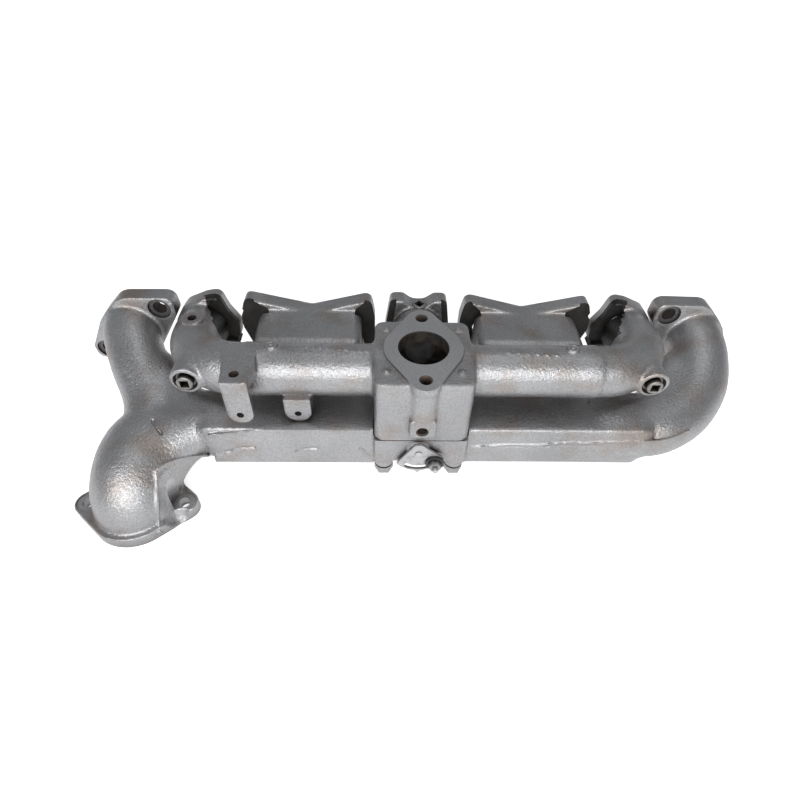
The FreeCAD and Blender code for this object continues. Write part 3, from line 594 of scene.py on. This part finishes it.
CAST = cast_material("silver_painted_casting", (0.46, 0.46, 0.47), 0.7, 0.35, 0.9, 0.6)
SHADE = cast_material("dark_ear_face", (0.16, 0.16, 0.165), 0.4, 0.5, 0.7, 0.3)
FACE = cast_material("painted_machined_face", (0.56, 0.56, 0.57), 0.16, 0.36, 0.88, 0.12)
DARK = dark_iron("bare_clamp_seat", (0.028, 0.027, 0.027), (0.05, 0.045, 0.04))
RUST = dark_iron("rusty_thread", (0.055, 0.045, 0.04), (0.15, 0.105, 0.08))
BORE = dark_iron("sooty_passage", (0.035, 0.032, 0.03), (0.075, 0.06, 0.048))
STEEL = metal("painted_steel", (0.42, 0.42, 0.43), 0.42)
BRIGHT = metal("bright_steel", (0.62, 0.62, 0.63), 0.33)
SEAT = metal("dark_washer", (0.10, 0.10, 0.105), 0.45)
PLATE = metal("painted_plate", (0.56, 0.56, 0.57), 0.36)
BRONZE = metal("bronze_bush", (0.50, 0.34, 0.17), 0.40)
PLUG = metal("iron_plug", (0.36, 0.35, 0.34), 0.46)
GASKET = dark_iron("fibre_gasket", (0.10, 0.055, 0.035), (0.22, 0.11, 0.06), 0.8)


# ---- the exhaust casting ----------------------------------------------------------------
RIGHT_BEND = [(190, -13.5, -90), (212, -13.5, -90), (238, -11.5, -90.5), (266, 4, -86), (289, 31, -76),
              (298, 60, -63), (END_X, 84, -55), (END_X, CAST_END_Y, -52)]
RIGHT_RADII = [24, 25, 27.5, 29, 29.5, 29, 28, 26.5]
ARC = [(OUTLET[0], OUTLET[1] + ELBOW_R * (1 - math.sin(a)), OUTLET[2] + ELBOW_R * math.cos(a))
       for a in (0.0, math.pi / 6, math.pi / 3, math.pi / 2)]
ARC_RADII = [33.5, 36.0, 37.5, 37.0]
LEFT_BEND = [(-END_X, CAST_END_Y, -52), (-END_X + 1, 84, -54), (-285, 50, -67), (-267, 16, -84),
             (-260, -12, -95)]
LEFT_RADII = [26.5, 27.5, 27, 26.5, 29.5]
COLLECTOR = [(-170, -13.5, -90), (-190, -14, -90), (-214, -16, -92), (-240, -30, -98), (-260, -56, -112)]
COLLECTOR_RADII = [22, 24, 26, 30, 32]
LEFT_PASSAGE = [(-END_X, 83, PORT_Z), (-285, 50, -65), (-267, 16, -83), (-260, -12, -95)] + ARC
LEFT_PASSAGE_RADII = [PORT_R, 19.5, 19.5, 21.5] + [OUTLET_R - 1] * 4
RIGHT_PASSAGE = RIGHT_BEND[1:4] + [(288, 32, -74), (298, 60, -60), (END_X, 83, PORT_Z)]
RIGHT_PASSAGE_RADII = [18.5, 20.5, 22, 22, 20.5, PORT_R]
TWIN_PROFILE = [(HEAD_Y - 2, -27), (42, -27), (22, -42), (6, -72), (-4, -104), (30, -104), (66, -84),
                (HEAD_Y - 2, -78)]
TWIN_PROFILE_RADII = [3, 9, 14, 8, 6, 14, 14, 3]
TWIN_HALF = 52.5
TWIN_PASSAGE = [(HEAD_Y - 18, PORT_Z), (62, -53), (38, -64), (22, -78), (2, -91)]
TWIN_PASSAGE_RADII = [PORT_R, 17.5, 16, 13.5, 13.5]
END_SEAT = [(178, -10), (196, -10), (196, -92), (171, -92), (162, -52), (152, -26)]
TWIN_SEAT = [(30, -8), (47, -8), (66, -26), (60, -52), (52, -92), (30, -92)]
VALLEY = ((-20, -33), (20, -33), (9, -71), (-9, -71))


def log_outline(inset):
    depth, height = LOG_HALF[0] - inset, LOG_HALF[1] - inset
    return [(LOG_Y + y, LOG_Z + z) for y, z in
            ((depth, 0), (depth - LOG_DRAFT, height), (LOG_DRAFT - depth, height),
             (-depth, 0), (LOG_DRAFT - depth, -height), (depth - LOG_DRAFT, -height))]


def head_flange(points, radii, centre_x, centre_z, side):
    """A flange plate against the head, from its outline about a port."""
    outline = [(side * (centre_x + a), centre_z + b) for a, b in points]
    return prism(outline, 1, HEAD_Y - FLANGE_T, CAST_END_Y, radii, 1.8)


END_FLANGE = [(-50, 38), (-51, 18), (-36, -6), (-16, -37), (14, -42), (49, -42), (50, -26), (31, 8), (4, 37)]
END_FLANGE_RADII = [9, 8, 14, 12, 14, 8, 7, 16, 20]
TWIN_FLANGE = [(185, -50), (184, -34), (177, -14), (111, -30), (49, -14), (45, -36), (45, -64), (49, -86),
               (111, -72), (174, -86)]
TWIN_FLANGE_RADII = [8, 8, 7, 12, 7, 7, 7, 7, 12, 8]


def end_ears(side):
    return ((side * (END_X - 35), -27.0), (side * (END_X + 35), -81.0))


def diamond(centre, radius, lobe, half, turn):
    """Outline of a disc with two lobes, sampled finely."""
    lean = math.acos((radius - lobe) / half)
    points = []
    for side in (0.0, math.pi):
        for k in range(9):
            a = side - lean + 2 * lean * k / 8
            shift = half if side == 0.0 else -half
            points.append((shift + lobe * math.cos(a), lobe * math.sin(a)))
        for k in range(1, 12):
            a = side + lean + (math.pi - 2 * lean) * k / 12
            points.append((radius * math.cos(a), radius * math.sin(a)))
    if turn:
        points = [(-b, a) for a, b in points]
    return [(centre[0] + a, centre[1] + b) for a, b in points]


def stud_seat(bm, points, side):
    """A milled seat round a shared head stud, cut from the front."""
    outline = [(side * a, b) for a, b in points]
    extrude_outline(bm, outline, lambda a, b, c: (a, HEAD_Y - 22 + c, b), 22 - CLAMP_SEAT_T)


def past_head(bm):
    """All that stands past the head face."""
    cutter_box(bm, (-400, HEAD_Y, -200), (400, HEAD_Y + 60, 60))


def stud_notches(bm):
    for side in (-1, 1):
        for x in CLAMP_XS:
            for z in CLAMP_ZS:
                cutter_post(bm, (side * x, 0, z), 1, 6.0, HEAD_Y - 30, HEAD_Y + 3, 40)


def exhaust_casting():
    field = Field((-356, -126, -146), (356, 112, -8))
    field.add(prism(log_outline(0), 0, LOG_END_XS[0], LOG_END_XS[1], 2.5, 9.0))
    field.tube(RIGHT_BEND, RIGHT_RADII, 12.0)
    field.tube(LEFT_BEND + ARC, LEFT_RADII + ARC_RADII, 6.0)
    field.tube(COLLECTOR, COLLECTOR_RADII, 10.0)
    # full lower front of the right bend
    field.tube([(150, -28, -98), (190, -28.5, -98), (216, -27, -98), (240, -19, -96), (262, -3, -92)],
               [9, 12, 13, 15, 16], 8.0)
    # webs in the inner corners where the log turns into the end runners
    field.tube([(190, -6, -86), (208, -4, -84), (231, 3, -84), (252, 24, -79), (268, 50, -71)],
               [19, 21, 21, 19, 17], 10.0)
    field.tube([(-182, -6, -86), (-200, -4, -84), (-225, 4, -84), (-246, 26, -79), (-262, 48, -73)],
               [19, 21, 21, 18, 15], 10.0)
    # the lower half of the log's front stands proud of the upper half
    for x0, x1, lip, edge in ((-197, -44, -44.0, 1.2), (36, 214, -42.0, 6.0)):
        profile = [(-41.4, -91), (lip, -111.0), (-20, -111.0), (-20, -91)]
        field.add(prism(profile, 0, x0, x1, [1.0, 1.5, 3, 3], edge), edge)
    for side in (-1, 1):
        ends = (side * TWIN_X - TWIN_HALF, side * TWIN_X + TWIN_HALF)
        slab = prism(TWIN_PROFILE, 0, ends[0], ends[1], TWIN_PROFILE_RADII, 8.0)
        valley = prism([(side * TWIN_X + a, b) for a, b in VALLEY], 1, -18, 24, 4.0, 5.0)
        field.add(without(slab, valley, 9.0), 5.0)
        field.add(head_flange(END_FLANGE, END_FLANGE_RADII, END_X, PORT_Z - 2, side), 5.0)
        field.add(head_flange(TWIN_FLANGE, TWIN_FLANGE_RADII, 0, 0, side), 3.0)
    # heat riser box, its legs and bosses
    field.add(rounded_box((BOX[0][0], BOX[0][1], RISER_BOTTOM), (BOX[1][0], BOX[1][1], -60), 3.0), 3.0)
    for x, y in BOLTS:
        field.add(post((x, y, 0), 2, BOLT_BOSS_R, LEG_BOTTOM, RISER_BOTTOM + 16, 3.5), 3.0)
    field.add(post((PIVOT[0], 0, PIVOT[2]), 1, 10.0, BOX[0][1] - 2, BOX[0][1] + 6, 0.8), 2.0)
    field.add(post((STUD[0], 0, STUD[2]), 1, 8.0, BOX[0][1] - 2, BOX[0][1] + 20, 0.8), 3.0)
    # outlet flange
    outline = diamond((OUTLET[0], OUTLET[1]), 41.0, 12.5, OUTLET_HALF, False)
    field.add(prism(outline, 2, OUTLET[2] - 4, OUTLET[2] + 12, 0.3, 1.5), 4.0)
    # hollow beside the elbow's seam, the seam, the mould's parting line, laps and cast marks
    field.tube([(-214, -62, -84), (-221, -78, -97), (-222, -90, -114), (-222, -97, -128)], [10, 13, 13, 12],
               2.5, True)
    field.bead([(-203, -40, -103.5), (-223, -54, -91.6), (-237, -68.8, -86), (-237.2, -79.8, -94.4),
                (-237.7, -91.7, -108.4), (-238.8, -99.2, -124), (-238.4, -106.2, -132.4)], 1.7)
    field.bead([(54, -41.4, -88.2), (84, -40.8, -85.6), (111, -40.4, -86.0), (140, -40.2, -82.6),
                (164, -39.9, -82.8), (198, -40.7, -79.6), (232, -38.6, -79.4), (259, -30.2, -74.7)], 1.1)
    front = LOG_Y - LOG_HALF[0]
    field.bead([(-196, front + 1.5, -74.5), (-150, front + 4.6, -70.8), (-100, front + 4.9, -70.4),
                (-48, front + 4.6, -70.6)], 1.0)
    for lap in ([(-205, front + 2, -103), (-197, front - 1, -99), (-181, front - 1, -95.5)],
                [(-181, front - 1, -96), (-173, front - 0.3, -91.5), (-157, front, -90.5)],
                [(-118, front - 1, -96), (-111, front - 0.3, -92), (-99, front, -91)],
                [(-57, front, -92), (-47, front - 1.5, -103)],
                [(-248.6, -28.4, -67.1), (-243.4, -35.6, -68.2), (-238.2, -41.3, -70.8)]):
        field.bead(lap, 1.3, True)
    for row, (y, count) in enumerate(((-1.0, 6), (-20.0, 4))):
        for k in range(count):
            x = 169 + row * 4 + k * (7.5 + 3.5 * row)
            field.bead([(x, y, -68.6), (x + 3.5, y - 4 + 2 * (k % 3), -68.6)], 1.3)
    field.keep_outside()
    # passages
    field.carve(prism(log_outline(WALL), 0, LOG_END_XS[0], LOG_END_XS[1], 3.0, 3.0))
    field.tube(RIGHT_PASSAGE, RIGHT_PASSAGE_RADII, 3.0, True)
    field.tube(LEFT_PASSAGE, LEFT_PASSAGE_RADII, 3.0, True)
    field.tube(COLLECTOR, [r - WALL - 1 for r in COLLECTOR_RADII], 3.0, True)
    for side in (-1, 1):
        for x in TWIN_XS:
            field.tube([(side * x, y, z) for y, z in TWIN_PASSAGE], TWIN_PASSAGE_RADII, 1.0, True)
    field.carve(rounded_box((-31, BOX[0][1] + 7, RISER_BOTTOM + WALL), (31, BOX[1][1] - 7, -50), 3.0), 1.0)
    obj = mesh_object("exhaust_casting", field.mesh("exhaust_casting"))

    def faces(bm):
        past_head(bm)
        cutter_box(bm, (-400, -200, OUTLET[2] - 60), (-150, 0, OUTLET[2]))
        pocket = BOX[1][0] + 1.0
        cutter_box(bm, (-pocket, BOX[0][1] - 4, GASKET_LOW[2]), (pocket, BOX[1][1] + 1, 0))

    def bores(bm):
        for x, y, z in EXHAUST_PORTS:
            cutter_post(bm, (x, y, z), 1, PORT_R, HEAD_Y - PORT_LENGTH, HEAD_Y + 2)
        cutter_post(bm, OUTLET, 2, OUTLET_R, OUTLET[2] - 2, OUTLET[2] + 14)
        for side in (-1, 1):
            for x, z in end_ears(side):
                cutter_post(bm, (x, 0, z), 1, END_STUD_R, 50, HEAD_Y + 3)
        for x, y in BOLTS:
            cutter_post(bm, (x, y, 0), 2, 5.5, LEG_BOTTOM - 2, GASKET_LOW[2] + 2)

    def studs(bm):
        for s in (-1, 1):
            x = OUTLET[0] + s * OUTLET_HALF
            cutter_post(bm, (x, OUTLET[1], 0), 2, OUTLET_STUD_R, OUTLET[2] - 2, OUTLET[2] + 14)

    def clamps(bm):
        for side in (-1, 1):
            stud_seat(bm, rounded(END_SEAT, 5.0), side)
            stud_seat(bm, rounded(TWIN_SEAT, 5.0), side)

    def spots(bm):
        for s in (-1, 1):
            x = OUTLET[0] + s * OUTLET_HALF
            cutter_post(bm, (x, OUTLET[1], 0), 2, 10.5, OUTLET[2] + 11, OUTLET[2] + 40)
        for y in (BOX[0][1] - 3, BOX[1][1] - 8):
            cutter_post(bm, (PIVOT[0], 0, PIVOT[2]), 1, 6.5, y, y + 12, 40)
        cutter_post(bm, (STUD[0], 0, STUD[2]), 1, 3.0, BOX[0][1] - 3, BOX[0][1] + 14, 32)

    def ears(bm):
        for side in (-1, 1):
            for x, z in end_ears(side):
                cutter_post(bm, (x, 0, z), 1, 11.5, HEAD_Y - 46, HEAD_Y - 14.5)

    for build, material in ((faces, FACE), (ears, SHADE), (bores, BORE), (studs, BRIGHT),
                            (clamps, DARK), (stud_notches, DARK), (spots, FACE)):
        machine(obj, build, material)
    smooth(obj)
    return obj


# ---- the intake casting -----------------------------------------------------------------
def intake_bend(side):
    points = [(150, 0, TUBE_Z), (TUBE_BEND_X, 0, TUBE_Z), (182, 2.5, -28), (203, 16, -30), (216, 37, -34),
              (221, 62, -40), (INTAKE_X, 84, -46), (INTAKE_X, CAST_END_Y, -48)]
    return [(side * x, y, z) for x, y, z in points], [TUBE_R, TUBE_R, 24, 24, 24, 24.5, 25, 25]


INTAKE_FLANGE = [(-19, 36), (-25, 16), (-34, 0), (-31, -28), (-14, -33), (14, -28), (30, -16), (30, 6),
                 (16, 24), (-4, 33)]
INTAKE_FLANGE_RADII = [7, 8, 12, 12, 10, 14, 14, 12, 12, 12]
CENTRE_FLANGE = [(-34, -50), (-29, -14), (-16, -14), (0, -26), (16, -14), (29, -14), (34, -50), (29, -86),
                 (-29, -86)]
CENTRE_FLANGE_RADII = [12, 6, 6, 14, 6, 6, 12, 8, 8]
INTAKE_END_SEAT = [(178, -10), (200, -15.5), (209, -16), (215, -22), (216, -42), (208, -66), (178, -70)]
CENTRE_SEAT = [(22, -8), (50, -8), (50, -92), (22, -92), (27, -50)]
CENTRE_PLUG = (1, 92, 0)


def intake_casting():
    field = Field((-260, -62, -92), (260, 112, 6))
    box_outline = [(BOX[i][0], BOX[j][1]) for i, j in ((0, 0), (1, 0), (1, 1), (0, 1))]
    field.add(prism(box_outline, 2, BOX[0][2] - 6, BOX[1][2], BOX_CORNER, 2.0))
    field.add(post((0, 0, TUBE_Z), 0, TUBE_R, -TUBE_BEND_X, TUBE_BEND_X, 0.5), 5.0)
    for side in (-1, 1):
        points, radii = intake_bend(side)
        field.tube(points, radii, 3.0)
        field.add(head_flange(INTAKE_FLANGE, INTAKE_FLANGE_RADII, INTAKE_X, PORT_Z + 2, side), 5.0)
        x, _, z = PLUGS[side]
        field.add(post((x, 0, z), 1, 14.0, -18, 26, 1.5), 4.0)
        field.add(post((side * BUTTON_X, 3, 0), 2, 5.6, -20, -0.6, 0.7), 1.5)
        field.carve(post((side * BUTTON_X, 3, 0), 2, 3.0, -1.6, 2, 0.3))
        field.add(post((side * BUTTON_X, 3, 0), 2, 1.8, -8, -0.4, 0.4))
    field.tube([(0, 20, -31), (0, 40, -33), (0, 60, -38), (0, 84, -46), (0, CAST_END_Y, -48)],
               [27, 27, 26, 25, 25], 6.0)
    field.add(head_flange(CENTRE_FLANGE, CENTRE_FLANGE_RADII, 0, 0, 1), 4.0)
    field.add(post(CENTRE_PLUG, 2, 9.0, -44, -22, 0.8), 3.0)
    # carburettor pad, ribs under its studs, threaded block
    outline = diamond((0, 0), PAD_R, PAD_LOBE_R, CARB_HALF, True)
    field.add(prism(outline, 2, -8, 4, 0.3, 0.6), 1.5)
    field.add(post((0, 1 - CARB_HALF, 0), 2, 13.0, -42, -2, 2.0), 2.5)
    field.add(post((0, CARB_HALF - 2, 0), 2, 12.0, -48, -2, 2.0), 2.5)
    field.add(rounded_box((-12, BOX[0][1] - 7, -63), (11.8, BOX[0][1] + 4, -41), 2.0), 2.0)
    for x, y in ((-33, 28.8), (34, 29.3), (-33, -29), (32, -29.3)):
        field.add(post((x, y, 0), 2, 3.8, -8, -2.1, 0.4), 0.6)
        field.add(post((x, y, 0), 2, 1.8, -8, -1.0, 0.5), 0.4)
    # linkage shelf with its tongue, lug below the tube, vacuum boss
    x0, x1 = TONGUE_X
    y0, y1 = TONGUE_Y
    plan = [(x0 - 7, 8), (x0, y0), (x1, y0), (x1 + 4, y0 + 18), (x1 - 1, 8)]
    field.add(prism(plan, 2, SHELF_Z[0], SHELF_Z[1], [3, 2, 6, 8, 3], 1.0), 2.0)
    tongue = [(x0, SHELF_Z[1]), (x0, -52), (x1, -52), (x1, SHELF_Z[1])]
    field.add(prism(tongue, 1, y0, y1, [1, 11, 11, 1], 1.0), 1.5)
    x0, x1 = LUG_X
    lug = [(x0, -40), (x0, LUG_BOTTOM), (x1, LUG_BOTTOM), (x1, -40)]
    field.add(prism(lug, 1, LUG_Y[0], LUG_Y[1], [1, 12, 12, 1], 1.2), 3.0)
    field.add(post(VACUUM, 2, 10.0, -26, VACUUM[2], 1.4), 2.0)
    # cast marks along the top of the tube
    for k in range(12):
        x = -116 + 5.8 * k
        field.bead([(x, 3.5 - 0.5 * k, -4.0), (x + 2.5, 1.0 - 0.5 * k + (k % 3), -4.0)], 1.2)
    for k in range(6):
        x = 76 + 8.4 * k
        field.bead([(x, -2.0 - 0.6 * k, -4.0), (x + 3, -4.5 - 0.6 * k + (k % 2), -4.2)], 1.2)
    field.keep_outside()
    # passages
    field.carve(post((0, 0, TUBE_Z), 0, TUBE_BORE_R, -TUBE_BEND_X, TUBE_BEND_X))
    for side in (-1, 1):
        points, radii = intake_bend(side)
        field.tube(points, [r - TUBE_R + TUBE_BORE_R for r in radii], 2.0, True)
    field.tube([(0, 26, -30), (0, 60, -38), (0, 84, -46), (0, HEAD_Y, -48)], [14, 17, 18, 18], 2.0, True)
    posts = [post((x, y, 0), 2, BOLT_BOSS_R, -80, -8, 1.0) for x, y in BOLTS]
    for low, high in ((-45.0, -13.0), (GASKET_HIGH[2] - 8, -51.0)):
        hollow = rounded_box((-37, -38.8, low), (37, 34.5, high), 3.0)

        def around_posts(x, y, z, hollow=hollow):
            gap = hollow[0](x, y, z)
            for p in posts:
                gap = np.maximum(gap, -p[0](x, y, z))
            return gap
        field.carve((around_posts, hollow[1], hollow[2]), 1.0)
    obj = mesh_object("intake_casting", field.mesh("intake_casting"))

    def faces(bm):
        past_head(bm)
        cutter_box(bm, (-60, -80, -140), (60, 60, GASKET_HIGH[2]))
        cutter_box(bm, (-60, -80, 0), (60, 80, 40))

    def bores(bm):
        for x, y, z in INTAKE_PORTS:
            cutter_post(bm, (x, y, z), 1, PORT_R, HEAD_Y - PORT_LENGTH, HEAD_Y + 2)
        lathe(bm, [(CARB_R, -20), (CARB_R, -0.7), (CARB_R + 0.9, 0.2), (CARB_R + 0.9, 3)], (0, 0, 0), 2, 96)

    def clamps(bm):
        for side in (-1, 1):
            stud_seat(bm, rounded(INTAKE_END_SEAT, 3.0), side)
            stud_seat(bm, rounded(CENTRE_SEAT, 4.0), side)

    def threads(bm):
        for s in (-1, 1):
            profile = [(CARB_STUD_R, -11.5), (CARB_STUD_R, -1.2), (5.9, 0), (5.9, 2)]
            lathe(bm, profile, (0, s * CARB_HALF, 0), 2, 48)
        x, y, z = mount_mm("front_threaded_hole")
        lathe(bm, [(4.4, 12), (4.4, 1.4), (5.8, -0.1), (5.8, -3)], (x, y, z), 1, 40)
        x, y, z = mount_mm("bracket_top_hole")
        cutter_post(bm, (x, y, z), 2, 4.25, z - 16, z + 3, 40)
        for x, y in BOLTS:
            cutter_post(bm, (x, y, 0), 2, 5.0, GASKET_HIGH[2] - 2, -25, 32)

    def holes(bm):
        x, y, z = mount_mm("bracket_tongue_hole")
        cutter_post(bm, (x, y, z), 1, 3.2, y - 3, y + 10, 32)
        x, y, z = mount_mm("lower_lug_hole")
        cutter_post(bm, (x, y, z), 1, 3.2, y - 3, y + 18, 32)
        x, y, z = VACUUM
        cutter_post(bm, (x, y, z), 2, 4.3, z - 34, z + 3, 40)
        cutter_post(bm, CENTRE_PLUG, 2, 6.8, -46, -12, 40)

    def sockets(bm):
        for side in (-1, 1):
            x, _, z = PLUGS[side]
            lathe(bm, [(6.8, 14), (6.8, -14), (9.0, -14.2), (10.8, -18.1), (10.8, -24)], (x, 0, z), 1, 48)

    for build, material in ((faces, FACE), (bores, BORE), (clamps, DARK), (stud_notches, DARK),
                            (threads, RUST), (holes, BORE), (sockets, CAST)):
        machine(obj, build, material)
    smooth(obj)
    return obj


exhaust = exhaust_casting()
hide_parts("exhaust_manifold")
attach(exhaust, "manifold")

intake = intake_casting()
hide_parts("intake_manifold")
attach(intake, "manifold")

# ---- carried-over pieces ----------------------------------------------------------------
NODE_MATERIALS = {
    "heat_riser_gasket": GASKET, "riser_bolts": STEEL, "riser_bolt_washers": STEEL,
    "valve_bush_front": BRONZE, "valve_bush_rear": BRONZE, "heat_valve_shaft": BRIGHT,
    "heat_valve_flap": STEEL, "flap_screws": BRIGHT, "sector_plate": PLATE, "lock_stud": BRIGHT,
    "lock_washer": SEAT, "lock_nut": STEEL, "plug_left": PLUG, "plug_right": PLUG, "plug_centre": PLUG,
}
for node, material in NODE_MATERIALS.items():
    obj = frame["nodes"][node]
    obj.data.materials.clear()
    obj.data.materials.append(material)

# ---- floor, light and camera --------------------------------------------------------------
LOW = Vector(cad_bounds[0])


FLOOR_HALF, FLOOR_GAP = 40.0, 0.0005
GLOW_TO_OBJECT, GLOW_TO_CAMERA = 0.36, 0.75


def floor():
    """A pale floor that gives off light, more as the camera sees it than as the object does."""
    bm = bmesh.new()
    z = LOW.z - FLOOR_GAP
    for a, b in ((-1, -1), (1, -1), (1, 1), (-1, 1)):
        bm.verts.new((a * FLOOR_HALF, b * FLOOR_HALF, z))
    bm.faces.new(bm.verts)
    obj = bm_object("floor", bm)
    material, nodes, links, principled = shader("pale_floor")
    principled.inputs["Base Color"].default_value = (0.93, 0.93, 0.93, 1)
    principled.inputs["Roughness"].default_value = 0.9
    principled.inputs["Emission Color"].default_value = (1.0, 1.0, 1.0, 1)
    path = nodes.new("ShaderNodeLightPath")
    seen = path.outputs["Is Camera Ray"]
    glow = spread(nodes, links, seen, 0.0, 1.0, GLOW_TO_OBJECT, GLOW_TO_CAMERA)
    links.new(glow, principled.inputs["Emission Strength"])
    obj.data.materials.append(material)


floor()


def soft_light(name, place, target, width, height, power):
    lamp = bpy.data.lights.new(name, "AREA")
    lamp.shape = "RECTANGLE"
    lamp.size, lamp.size_y, lamp.energy = width, height, power
    obj = bpy.data.objects.new(name, lamp)
    bpy.context.scene.collection.objects.link(obj)
    obj.location = place
    obj.rotation_mode = "QUATERNION"
    obj.rotation_quaternion = (Vector(target) - Vector(place)).to_track_quat("-Z", "Y")


soft_light("front_panel", (-0.2, -2.0, 1.1), (0, 0, -0.05), 3.0, 1.2, 44)
soft_light("top_panel", (0.3, 0.2, 2.4), (0, 0, 0), 1.6, 1.0, 6)

world = bpy.data.worlds.new("soft_room")
world.use_nodes = True
world.node_tree.nodes["Background"].inputs[0].default_value = (0.95, 0.97, 1.0, 1)
world.node_tree.nodes["Background"].inputs[1].default_value = 0.30
bpy.context.scene.world = world
bpy.context.scene.view_settings.view_transform = "Standard"

CAMERA_PLACE = Vector((-35.19, -359.09, 303.13)) * MM
CAMERA_YAW, CAMERA_DOWN, CAMERA_ROLL = (math.radians(v) for v in (2.56, 45.86, 2.28))
LENS, SENSOR = 23.82, 36.0


def camera():
    def unyaw(x, y, z):
        return Vector((x * math.cos(CAMERA_YAW) + y * math.sin(CAMERA_YAW),
                       -x * math.sin(CAMERA_YAW) + y * math.cos(CAMERA_YAW), z))
    right = unyaw(1, 0, 0)
    up = unyaw(0, math.sin(CAMERA_DOWN), math.cos(CAMERA_DOWN))
    right, up = (right * math.cos(CAMERA_ROLL) + up * math.sin(CAMERA_ROLL),
                 up * math.cos(CAMERA_ROLL) - right * math.sin(CAMERA_ROLL))
    back = right.cross(up)
    data = bpy.data.cameras.new("camera")
    data.lens, data.sensor_width = LENS, SENSOR
    data.clip_start, data.clip_end = 0.01, 50.0
    obj = bpy.data.objects.new("camera", data)
    bpy.context.scene.collection.objects.link(obj)
    turn = Matrix((right, up, back)).transposed().to_4x4()
    turn.translation = CAMERA_PLACE
    obj.matrix_world = turn
    bpy.context.scene.camera = obj


camera()
bpy.context.view_layer.update()
